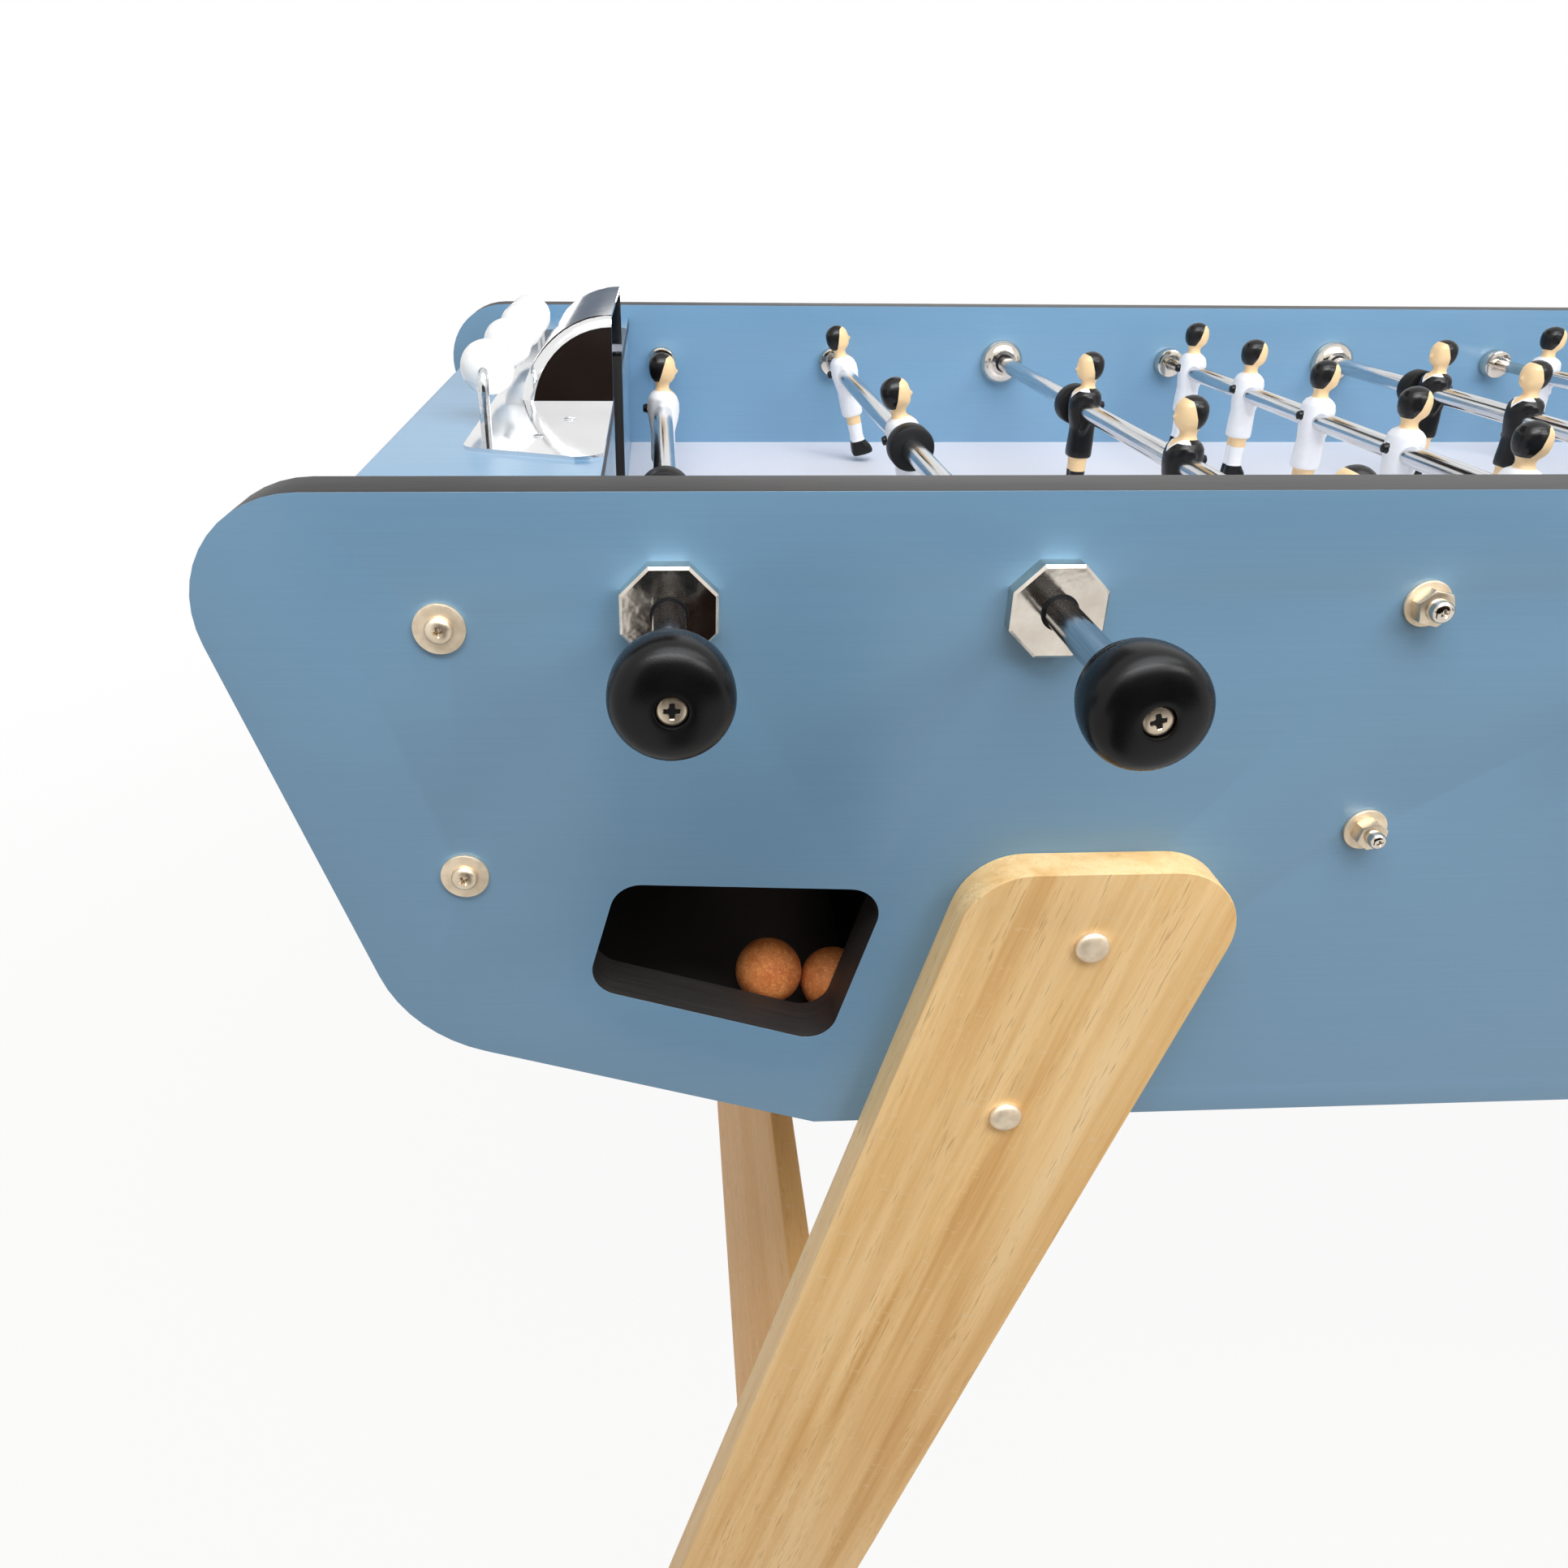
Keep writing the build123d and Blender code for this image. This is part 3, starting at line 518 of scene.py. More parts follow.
def lathe(profile, steps=40):
    """Turned shape about the Y axis. The profile is radius and height pairs, with height towards -Y."""
    bm = bmesh.new()
    rings = []
    for radius, height in profile:
        if radius <= 0:
            rings.append([bm.verts.new((0, -height, 0))])
        else:
            rings.append(circle(bm, radius, height, steps))
    for low, high in zip(rings, rings[1:]):
        for step in range(steps):
            corners = [low[step % len(low)], low[(step + 1) % len(low)]]
            corners += [high[(step + 1) % len(high)], high[step % len(high)]]
            unique = list(dict.fromkeys(corners))
            if len(unique) > 2:
                bm.faces.new(unique)
    for ring in (rings[0], rings[-1]):
        if len(ring) > 1:
            bm.faces.new(ring)
    bmesh.ops.recalc_face_normals(bm, faces=bm.faces)
    return bm


def ring_profile(outer, hole, length, rounding):
    """Closed profile of a ring with rounded outer edges, from the hole at its foot to the hole at its top."""
    soft = 0.3 * rounding
    return [
        (hole, 0.0),
        (outer - rounding, 0.0),
        (outer - soft, soft),
        (outer, rounding),
        (outer, length - rounding),
        (outer - soft, length - soft),
        (outer - rounding, length),
        (hole, length),
    ]


def ring_piece(name, outer, hole, length, rounding, steps=40):
    """Ring whose hole is open: the profile closes on itself."""
    profile = ring_profile(outer, hole, length, rounding)
    bm = bmesh.new()
    loops = [circle(bm, radius, height, steps) for radius, height in profile]
    for index, loop in enumerate(loops):
        other = loops[(index + 1) % len(loops)]
        for step in range(steps):
            after = (step + 1) % steps
            bm.faces.new((loop[step], loop[after], other[after], other[step]))
    bmesh.ops.recalc_face_normals(bm, faces=bm.faces)
    piece = piece_from(bm, name)
    smooth(piece.data)
    return piece


def carve(piece, cutter, operation="DIFFERENCE"):
    cut = piece.modifiers.new("cut", "BOOLEAN")
    cut.object = cutter
    cut.operation = operation
    cut.solver = "EXACT"
    settle(piece)
    bpy.data.objects.remove(cutter)


def cross_cutter(reach, width, depth, top):
    """Tapered cross that goes into a screw head from the outside."""
    root_share = 0.4
    mouth_share = 1.1
    bm = bmesh.new()
    for long_x, long_z in ((reach, width), (width, reach)):
        corners = []
        for height, share in ((top - depth, root_share), (top + cut_overshoot, mouth_share)):
            for x, z in ((-1, -1), (1, -1), (1, 1), (-1, 1)):
                corners.append(bm.verts.new((x * long_x * share, -height, z * long_z * share)))
        bm.faces.new(corners[:4])
        bm.faces.new(corners[4:])
        for index in range(4):
            after = (index + 1) % 4
            bm.faces.new((corners[index], corners[after], corners[4 + after], corners[4 + index]))
    bmesh.ops.recalc_face_normals(bm, faces=bm.faces)
    cutter = piece_from(bm, "cross")
    join = cutter.modifiers.new("join", "REMESH")
    join.mode = "VOXEL"
    join.voxel_size = width / 3
    return settle(cutter)


def domed_screw(name, profile, reach, width, depth):
    """Turned head with a cross recess."""
    head = piece_from(lathe(profile), name)
    top = max(height for radius, height in profile)
    carve(head, cross_cutter(reach, width, depth, top))
    smooth(head.data)
    return head


def hexagon_nut(name, across_flats, hole, thickness):
    """Nut with the round chamfer that a turned bar leaves on its corners."""
    flat = across_flats / 2
    corner = across_flats / sqrt(3)
    nut = piece_from(lathe([(corner, 0.0), (corner, thickness)], 6), name)
    chamfer = corner - flat + 0.2 * mm
    chamfer_rise = chamfer * 0.6
    slack = 0.1 * mm
    turned = [
        (0, -slack),
        (flat, -slack),
        (corner + slack, chamfer_rise),
        (corner + slack, thickness - chamfer_rise),
        (flat - 0.2 * mm, thickness),
        (0, thickness),
    ]
    carve(nut, piece_from(lathe(turned, 48), "turned bar"), "INTERSECT")
    foot = -cut_overshoot
    top = thickness + cut_overshoot
    carve(nut, piece_from(lathe([(0, foot), (hole, foot), (hole, top), (0, top)]), "bore"))
    smooth(nut.data)
    return nut


def rounded_copy(name, node_name, width, slot, finish):
    """Copy of a solid's mesh with softly rounded edges, standing for the solid."""
    bm = bmesh.new()
    bm.from_mesh(nodes[node_name].data)
    bmesh.ops.remove_doubles(bm, verts=bm.verts, dist=1e-5)
    bmesh.ops.dissolve_limit(bm, angle_limit=radians(0.5), verts=bm.verts, edges=bm.edges)
    piece = piece_from(bm, name)
    bevel = piece.modifiers.new("rounded edges", "BEVEL")
    bevel.width = width
    bevel.segments = 6
    bevel.limit_method = "ANGLE"
    bevel.angle_limit = radians(40)
    settle(piece)
    smooth(piece.data, radians(12))
    piece.data.materials.clear()
    piece.data.materials.append(finish)
    show(piece, "root", slot, node_name)


def repaint(node_name, finish):
    """New finish on a solid that keeps its own mesh."""
    mesh = nodes[node_name].data
    mesh.materials.clear()
    mesh.materials.append(finish)


# Geometry Nodes trees
class PieceTree:
    """A Geometry Nodes tree with named inputs, ending in plain geometry with one finish."""

    def __init__(self, name, **inputs):
        self.tree = bpy.data.node_groups.new(name, "GeometryNodeTree")
        self.sockets = {}
        for label, kind in inputs.items():
            socket = self.tree.interface.new_socket(label, in_out="INPUT", socket_type=kind)
            self.sockets[label] = socket.identifier
        self.tree.interface.new_socket("Geometry", in_out="OUTPUT", socket_type="NodeSocketGeometry")
        self.inlet = self.tree.nodes.new("NodeGroupInput")

    def given(self, label):
        return self.inlet.outputs[label]

    def node(self, kind, settings=None, inputs=None, output=0):
        node = self.tree.nodes.new(kind)
        for label, value in (settings or {}).items():
            setattr(node, label, value)
        for label, value in (inputs or {}).items():
            if isinstance(value, bpy.types.NodeSocket):
                self.tree.links.new(value, node.inputs[label])
            else:
                node.inputs[label].default_value = value
        return node.outputs[output]

    def end(self, geometry):
        plain = self.node("GeometryNodeRealizeInstances", {}, {"Geometry": geometry})
        finished = self.node(
            "GeometryNodeSetMaterial", {}, {"Geometry": plain, "Material": self.given("finish")}
        )
        outlet = self.tree.nodes.new("NodeGroupOutput")
        self.tree.links.new(finished, outlet.inputs[0])
        return self

    def make(self, name, points=None, **values):
        """A new piece with this tree's geometry as its own mesh."""
        piece = bpy.data.objects.new(name, points or bpy.data.meshes.new(name))
        modifier = piece.modifiers.new(name, "NODES")
        modifier.node_group = self.tree
        for label, value in values.items():
            modifier[self.sockets[label]] = value
        return settle(piece)


def row_tree():
    """Copies of one pattern piece in a straight row."""
    made = PieceTree(
        "pieces in a row",
        pattern="NodeSocketObject",
        count="NodeSocketInt",
        first="NodeSocketVector",
        step="NodeSocketVector",
        turn="NodeSocketVector",
        finish="NodeSocketMaterial",
    )
    line = {"Count": made.given("count"), "Start Location": made.given("first"), "Offset": made.given("step")}
    points = made.node("GeometryNodeMeshLine", {"mode": "OFFSET"}, line)
    pattern = made.node("GeometryNodeObjectInfo", {}, {"Object": made.given("pattern")}, "Geometry")
    copies = {"Points": points, "Instance": pattern, "Rotation": made.given("turn")}
    return made.end(made.node("GeometryNodeInstanceOnPoints", {}, copies))


def places_tree():
    """Copies of one pattern piece on given points, facing front or rear, each with its own roll."""
    made = PieceTree(
        "pieces at places",
        points="NodeSocketGeometry",
        pattern="NodeSocketObject",
        most_roll="NodeSocketFloat",
        seed="NodeSocketInt",
        finish="NodeSocketMaterial",
    )
    pattern = made.node("GeometryNodeObjectInfo", {}, {"Object": made.given("pattern")}, "Geometry")
    facing = made.node(
        "GeometryNodeInputNamedAttribute", {"data_type": "FLOAT"}, {"Name": "facing"}, "Attribute"
    )
    roll = made.node(
        "FunctionNodeRandomValue",
        {"data_type": "FLOAT"},
        {"Max": made.given("most_roll"), "Seed": made.given("seed")},
        "Value",
    )
    turn = made.node("ShaderNodeCombineXYZ", {}, {"Y": roll, "Z": facing})
    copies = {"Points": made.given("points"), "Instance": pattern, "Rotation": turn}
    return made.end(made.node("GeometryNodeInstanceOnPoints", {}, copies))


in_a_row = row_tree()
at_places = places_tree()


def both_sides(places, y):
    """Front places at -y with their half-turned copies at +y, and the turn that each one faces."""
    points = [(x, -y, z, 0.0) for x, z in places]
    return points + [(-x, y, z, pi) for x, z in places]


def place_pieces(name, pattern, places, finish, slot, replaced=(), roll=0.0, seed=0):
    points = bpy.data.meshes.new(name)
    points.from_pydata([place[:3] for place in places], [], [])
    facing = points.attributes.new("facing", "FLOAT", "POINT")
    facing.data.foreach_set("value", [place[3] for place in places])
    piece = at_places.make(name, points, pattern=pattern, most_roll=roll, seed=seed, finish=finish)
    show(piece, "root", slot, *replaced)


# Boards with rounded edges, and solids that keep their own mesh
for side in ("front", "rear"):
    rounded_copy(f"{side}_panel_board", f"side_panel_{side}", 1.0 * mm, "blue_panel", panel_blue)
for end, leg_oak in (("left", oak_left), ("right", oak_right)):
    for side in ("front", "rear"):
        rounded_copy(f"leg_board_{side}_{end}", f"leg_{side}_{end}", 3.0 * mm, "oak", leg_oak)
rounded_copy("cross_boards", "leg_stretchers", 2.5 * mm, "oak", oak_cross)
rounded_copy("foot_pads", "leg_pads", 1.0 * mm, "pad_rubber", pad_finish)
for node_name, own_finish in (
    ("playfield", field_finish),
    ("goal_walls", wall_blue),
    ("end_boards", black_finish),
    ("end_decks", deck_blue),
    ("ball_trays", black_finish),
    ("goal_hoods", sheet_finish),
    ("score_plates", sheet_finish),
    ("score_bars", tube_finish),
    ("bar_flanges", casting_finish),
):
    repaint(node_name, own_finish)


# Bars
def figure_places(count):
    """Y places of the figures with the bar in its middle place."""
    pitch = figure_pitch_shares[count] * 2 * inner_face
    return [(index - (count - 1) / 2) * pitch for index in range(count)]


def inward_travel(count):
    """Travel away from the handle."""
    if count == 1:
        return keeper_travel
    tube_end = figure_places(count)[-1] + figure_half_width + tube_tail
    return inner_face - anchor_seat_length - tube_end - end_play


def grip_back(count):
    """Y of the grip's inner end with the bar in its middle place."""
    spare = keeper_grip_spare if count == 1 else grip_spare
    return -(outer_face + flange_thickness + inward_travel(count) + spare)


def stop_place(count):
    """Y of the stop ring's inner end."""
    if count == 1:
        return -(inner_face - cup_height) + keeper_pull + end_play + stop_length
    return figure_places(count)[0] - figure_half_width - stop_gap


# Rings of the figure's body from the sole up: height, front, back and half width, in millimetres
figure_rings = (
    (-73.5, 11.0, -7.0, 7.6),
    (-72.6, 12.0, -7.9, 9.0),
    (-69.5, 11.9, -8.0, 9.4),
    (-66.0, 10.6, -7.9, 9.3),
    (-62.5, 8.2, -7.4, 9.0),
    (-60.0, 6.6, -6.9, 8.9),
    (-55.0, 6.0, -6.3, 8.8),
    (-48.0, 6.4, -6.6, 9.2),
    (-41.0, 6.6, -6.6, 9.4),
    (-36.8, 6.6, -6.6, 9.5),
    (-36.0, 9.2, -9.3, 11.4),
    (-33.0, 9.5, -9.5, 11.5),
    (-24.0, 9.2, -9.5, 11.0),
    (-14.0, 9.0, -9.2, 10.4),
    (-12.0, 9.6, -9.6, 10.6),
    (-6.0, 11.4, -10.6, 10.4),
    (1.0, 12.6, -11.6, 10.6),
    (7.0, 12.4, -11.6, 11.6),
    (11.5, 10.8, -10.6, 12.2),
    (14.5, 8.2, -8.6, 10.4),
    (16.0, 6.0, -6.4, 7.0),
    (17.2, 5.0, -5.4, 5.4),
    (19.6, 4.7, -5.2, 5.0),
    (21.8, 5.4, -5.6, 5.4),
    (23.2, 7.6, -6.8, 6.6),
    (25.6, 9.2, -8.6, 8.5),
    (29.0, 9.8, -9.7, 9.6),
    (33.0, 9.9, -10.0, 9.9),
    (37.0, 9.2, -9.5, 9.2),
    (40.0, 7.2, -7.6, 7.4),
    (42.0, 4.4, -4.8, 4.6),
    (43.0, 1.2, -1.6, 1.4),
)
figure_ring_points = 28
figure_squareness = 0.82
leg_groove = 1.6 * mm
leg_groove_share = 0.3
# Shoulder, elbow and hand: ahead, aside, height and radius, in millimetres
arm_places = ((0.5, 10.0, 9.0, 4.0), (-1.8, 10.4, -2.0, 3.5), (2.6, 10.4, -14.0, 3.0))
lumps_per_arm_part = 8
face_height = 30 * mm


def eased(value):
    """Power of a circle's part that makes a section squarer."""
    return abs(value) ** figure_squareness * (1 if value > 0 else -1)


def figure_body(bm):
    rings = []
    for height, ahead, behind, half_width in figure_rings:
        middle = (ahead + behind) / 2 * mm
        depth = (ahead - behind) / 2 * mm
        ring = []
        for step in range(figure_ring_points):
            turn = 2 * pi * step / figure_ring_points
            x = depth * eased(cos(turn))
            y = half_width * mm * eased(sin(turn))
            off_middle = abs(sin(turn)) / leg_groove_share
            if height * mm < shorts_hem and off_middle < 1:
                x -= leg_groove * (1 - off_middle) * (1 if x > 0 else -1)
            ring.append(bm.verts.new((middle + x, y, height * mm)))
        rings.append(ring)
    for low, high in zip(rings, rings[1:]):
        for step in range(figure_ring_points):
            after = (step + 1) % figure_ring_points
            bm.faces.new((low[step], low[after], high[after], high[step]))
    bm.faces.new(rings[0])
    bm.faces.new(rings[-1])


def round_lump(bm, centre, radii):
    shape = Matrix.Translation(centre) @ Matrix.Diagonal((*radii, 1))
    bmesh.ops.create_uvsphere(bm, u_segments=20, v_segments=12, radius=1.0, matrix=shape)


def figure_arms(bm):
    for side in (-1, 1):
        for start, end in zip(arm_places, arm_places[1:]):
            for step in range(lumps_per_arm_part):
                share = step / (lumps_per_arm_part - 1)
                x, y, z, radius = [(a + (b - a) * share) * mm for a, b in zip(start, end)]
                round_lump(bm, (x, side * y, z), (radius, radius, radius))


def figure_pattern():
    """One moulded figure about the bar axis, facing +X, with its own places kept for the paint."""
    bm = bmesh.new()
    figure_body(bm)
    figure_arms(bm)
    nose_radii = (2.4 * mm, 1.5 * mm, 2.0 * mm)
    ear_radii = (1.8 * mm, 1.3 * mm, 2.6 * mm)
    round_lump(bm, (9.4 * mm, 0, face_height), nose_radii)
    for side in (-1, 1):
        round_lump(bm, (-0.6 * mm, side * 9.0 * mm, face_height), ear_radii)
    nub = Matrix.Translation((-12 * mm, 0, nub_height)) @ Matrix.Rotation(pi / 2, 4, "Y")
    bmesh.ops.create_cone(
        bm, cap_ends=True, segments=20, radius1=nub_radius, radius2=nub_radius, depth=6 * mm, matrix=nub
    )
    bmesh.ops.recalc_face_normals(bm, faces=bm.faces)
    figure = piece_from(bm, "figure pattern")
    skin = figure.modifiers.new("one skin", "REMESH")
    skin.mode = "VOXEL"
    skin.voxel_size = 0.95 * mm
    ease = figure.modifiers.new("ease", "SMOOTH")
    ease.factor = 0.5
    ease.iterations = 3
    settle(figure)
    figure.data.shade_smooth()
    spots = figure.data.attributes.new("figure_place", "FLOAT_VECTOR", "POINT")
    for vertex, spot in zip(figure.data.vertices, spots.data):
        spot.vector = vertex.co
    return figure


# How far the grip screw's seat lies from the grip's back, in millimetres
grip_screw_seat = 32.6


def grip_pattern():
    """Round knob with its back at Y 0, its face towards -Y and a recess for its screw."""
    # Radius and height above the back, in millimetres
    profile = (
        (7.1, 0.0),
        (15.4, 0.0),
        (16.5, 0.4),
        (17.1, 1.4),
        (18.6, 4.2),
        (20.2, 7.6),
        (21.0, 9.8),
        (21.1, 10.2),
        (20.6, 10.6),
        (21.4, 11.2),
        (22.2, 14.0),
        (22.8, 17.8),
        (23.0, 21.0),
        (23.0, 23.6),
        (22.8, 26.0),
        (22.2, 28.3),
        (21.1, 30.5),
        (19.4, 32.3),
        (17.2, 33.6),
        (14.4, 34.6),
        (11.4, 35.3),
        (8.8, 35.8),
        (6.9, 36.0),
        (6.3, 35.9),
        (6.1, 35.4),
        (6.1, grip_screw_seat),
        (0.0, grip_screw_seat),
    )
    grip = piece_from(lathe([(radius * mm, height * mm) for radius, height in profile], 64), "grip pattern")
    smooth(grip.data, radians(50))
    return grip


def screw_profile(radius, crown, rim):
    """Low dome with a short upright rim."""
    share = ((1.0, 0.0), (1.0, 0.0), (0.96, 0.3), (0.84, 0.58), (0.62, 0.82), (0.34, 0.95), (0.0, 1.0))
    profile = [(radius * out, rim + crown * up) for out, up in share]
    profile[0] = (radius, 0.0)
    return profile


def bar_piece(number, label, pattern, finish, y, copies=1):
    """Copies of a pattern along one bar, the first at a place given with the bar in its middle place."""
    bar = bars[number - 1]
    side = bar["handle"]
    count = bar["figures"]
    push = bar["push"] * inward_travel(count)
    pitch = figure_pitch_shares[count] * 2 * inner_face
    return in_a_row.make(
        f"bar_{number}_{label}",
        pattern=pattern,
        count=copies,
        first=(goalie_x + (number - 1) * bar_pitch, side * (y + push), bar_height),
        step=(0.0, side * pitch, 0.0),
        turn=(0.0, bar["turn"], 0.0 if side == front else pi),
        finish=finish,
    )


def dress_bars():
    crown = 0.9 * mm
    rim = 1.7 * mm
    shade_cross_sink = 1.5 * mm
    figure = figure_pattern()
    grip = grip_pattern()
    head = screw_profile(radius=5.6 * mm, crown=crown, rim=rim)
    grip_screw = domed_screw("grip screw pattern", head, reach=3.7 * mm, width=1.2 * mm, depth=2.4 * mm)
    # Black cross sunk in the grip screw's recess: painted shade that stands for the dark inside of the recess
    painted_shade_cross = cross_cutter(reach=2.7 * mm, width=0.9 * mm, depth=0.9 * mm, top=crown + rim - shade_cross_sink)
    stop = ring_piece("stop pattern", outer=15.2 * mm, hole=7.1 * mm, length=stop_length, rounding=2.2 * mm)
    for number, bar in enumerate(bars, 1):
        name = f"bar_{number}"
        count = bar["figures"]
        side = bar["handle"]
        team = "white_team" if side == front else "black_team"
        back = grip_back(count)
        seat = back - grip_screw_seat * mm
        players = bar_piece(number, "players", figure, team_paints[side], figure_places(count)[0], count)
        show(players, name, team, f"{name}_figures")
        knob = bar_piece(number, "grip", grip, grip_finish, back)
        show(knob, name, "black_plastic", f"{name}_grip_and_stop")
        show(bar_piece(number, "grip_screw", grip_screw, zinc_finish, seat), name, "steel")
        # The grip screw's black cross is painted shade in its recess
        show(bar_piece(number, "grip_screw_recess", painted_shade_cross, bush_finish, seat), name, "black_plastic")
        show(bar_piece(number, "stop", stop, stop_finish, stop_place(count)), name, "black_plastic")
        repaint(f"{name}_tube", tube_finish)
        repaint(f"{name}_bush", bush_finish)
    for pattern in (figure, grip, grip_screw, painted_shade_cross, stop):
        bpy.data.objects.remove(pattern)


dress_bars()


# Score beads and balls
def dress_beads():
    half = bead_diameter / 2
    hole = 3.1 * mm
    flat = 5.2 * mm
    flat_height = half * 0.93
    steps = 20
    profile = [(hole, -flat_height), (flat, -flat_height)]
    for step in range(1, steps):
        turn = -pi / 2 + pi * step / steps
        if abs(sin(turn)) < 0.92:
            profile.append((half * cos(turn), half * sin(turn)))
    profile += [(flat, flat_height), (hole, flat_height)]
    bead = piece_from(lathe(profile), "bead pattern")
    smooth(bead.data, radians(45))
    y = first_bead_y
    for number, count in enumerate(bead_group_counts):
        for end, side in (("left", 1), ("right", -1)):
            name = f"score_beads_{end}_{number + 1}"
            beads = in_a_row.make(
                f"{name}_turned",
                pattern=bead,
                count=count,
                first=(side * score_bar_x, side * y, score_bar_z),
                step=(0.0, side * bead_step, 0.0),
                turn=(0.0, 0.0, 0.0),
                finish=bead_finish,
            )
            show(beads, name, "white_bead", name)
        y += count * bead_step + (*bead_group_gaps, 0.0)[number]
    bpy.data.objects.remove(bead)


def dress_balls():
    """Pressed cork balls, a little uneven, where the solids lie."""
    low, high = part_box("balls")
    radius = (high.y - low.y) / 2
    fall = atan2(high.z - low.z - 2 * radius, high.x - low.x - 2 * radius)
    dent_depth = 0.012
    dent_waves = (900, 1100, 1000)
    y = low.y + radius
    bm = bmesh.new()
    for centre in ((low.x + radius, y, high.z - radius), (high.x - radius, y, low.z + radius)):
        ball_place = Matrix.Translation(centre)
        made = bmesh.ops.create_icosphere(bm, subdivisions=4, radius=radius, matrix=ball_place)
        for vertex in made["verts"]:
            away = vertex.co - Vector(centre)
            dent = sin(away.x * dent_waves[0] + fall)
            dent *= sin(away.y * dent_waves[1])
            dent *= sin(away.z * dent_waves[2])
            vertex.co -= away * dent_depth * abs(dent)
    balls = piece_from(bm, "cork_balls")
    balls.data.shade_smooth()
    balls.data.materials.append(cork_finish)
    show(balls, "balls", "cork", "balls")


dress_beads()
dress_balls()


# Fasteners
leg_top_drop = 173.5 * mm
leg_top_left = 142.2 * mm
leg_left_run = 184.1 * mm
leg_top_width = 138.8 * mm
leg_taper = 24.0 * mm
washer_face = outer_face + washer_thickness
nut_face = washer_face + nut_thickness
rod_radius = 5 * mm
tie_rod_radius = 4 * mm
rod_hole = 5.1 * mm
plate_screw_places = ((630.3 * mm, 162.9 * mm), (643.4 * mm, 209.4 * mm))
thread_play = 0.05 * mm


def leg_axis_x(drop):
    """Middle of the front left leg at a depth below the panel top."""
    share = (drop - leg_top_drop) / (panel_top - leg_top_drop)
    left = leg_top_left - leg_left_run * share
    width = leg_top_width - leg_taper * share
    return goalie_x + left + width / 2


ends = (1, -1)
end_places = [(end * end_screw_x, panel_top - drop) for end in ends for drop in end_screw_drops]
leg_places = [(end * leg_axis_x(drop), panel_top - drop) for end in ends for drop in leg_bolt_drops]
tie_places = [(end * tie_rod_place[0], tie_rod_place[1]) for end in ends]
rod_places = [
    (goalie_x + index * bar_pitch, bar_height) for index, bar in enumerate(bars) if bar["handle"] == rear
]


def inside_places(places):
    """Places on the inner faces, facing into the table."""
    points = [(x, -inner_face, z, pi) for x, z in places]
    return points + [(-x, inner_face, z, 0.0) for x, z in places]


def dress_screws():
    """Panel screws with their washers, and leg bolts with their nuts."""
    washer = ring_piece(
        "end washer", outer=11.25 * mm, hole=3.1 * mm, length=washer_thickness, rounding=0.5 * mm
    )
    washer_places = both_sides(end_places, outer_face)
    place_pieces("end_washers", washer, washer_places, washer_finish, "steel", ["panel_screws"])
    head = screw_profile(radius=6.2 * mm, crown=2.9 * mm, rim=1.1 * mm)
    screw = domed_screw("end screw", head, reach=3.0 * mm, width=0.8 * mm, depth=2.2 * mm)
    screw_places = both_sides(end_places, washer_face)
    place_pieces("end_screws", screw, screw_places, zinc_finish, "steel", roll=pi / 2, seed=3)
    bolt_head = screw_profile(radius=8.5 * mm, crown=2.9 * mm, rim=1.6 * mm)
    bolt = piece_from(lathe(bolt_head, 48), "leg bolt")
    smooth(bolt.data)
    bolt_places = both_sides(leg_places, outer_face + leg_thickness)
    place_pieces("leg_bolt_heads", bolt, bolt_places, washer_finish, "steel")
    nut = hexagon_nut("leg nut", across_flats=13 * mm, hole=4.1 * mm, thickness=nut_thickness)
    place_pieces("leg_nuts", nut, inside_places(leg_places), zinc_finish, "steel", roll=pi / 3, seed=5)
    for pattern in (washer, screw, bolt, nut):
        bpy.data.objects.remove(pattern)


def dress_anchors():
    """Washers, nuts and inner seats of the fixed rods and the tie rods."""
    washer = ring_piece(
        "rod washer", outer=10.5 * mm, hole=rod_hole, length=washer_thickness, rounding=0.5 * mm
    )
    washer_places = both_sides(rod_places + tie_places, outer_face)
    place_pieces("rod_washers", washer, washer_places, washer_finish, "steel", ["rod_nuts"])
    rod_nut = hexagon_nut(
        "rod nut", across_flats=15 * mm, hole=rod_radius + thread_play, thickness=nut_thickness
    )
    nut_places = both_sides(rod_places, washer_face)
    place_pieces("rod_end_nuts", rod_nut, nut_places, zinc_finish, "steel", roll=pi / 3, seed=8)
    tie_nut = hexagon_nut(
        "tie nut", across_flats=13 * mm, hole=tie_rod_radius + thread_play, thickness=nut_thickness
    )
    nut_places = both_sides(tie_places, washer_face)
    place_pieces("tie_end_nuts", tie_nut, nut_places, zinc_finish, "steel", roll=pi / 3, seed=11)
    seat = ring_piece("rod seat", outer=13 * mm, hole=rod_hole, length=anchor_seat_length, rounding=2.0 * mm)
    place_pieces("rod_seats", seat, inside_places(rod_places), casting_finish, "polished")
    for pattern in (washer, rod_nut, tie_nut, seat):
        bpy.data.objects.remove(pattern)


def dress_plates():
    """Small upright screws in the score plates."""
    head = screw_profile(radius=3.4 * mm, crown=0.7 * mm, rim=0.3 * mm)
    screw = domed_screw("plate screw", head, reach=1.7 * mm, width=0.5 * mm, depth=0.7 * mm)
    for vertex in screw.data.vertices:
        vertex.co = (vertex.co.x, vertex.co.z, -vertex.co.y)
    places = []
    for x, y in plate_screw_places:
        for end in (-1, 1):
            for side in (-1, 1):
                places.append((end * x, side * y, plate_top, 0.0))
    place_pieces("plate_screws", screw, places, tube_finish, "polished")
    bpy.data.objects.remove(screw)


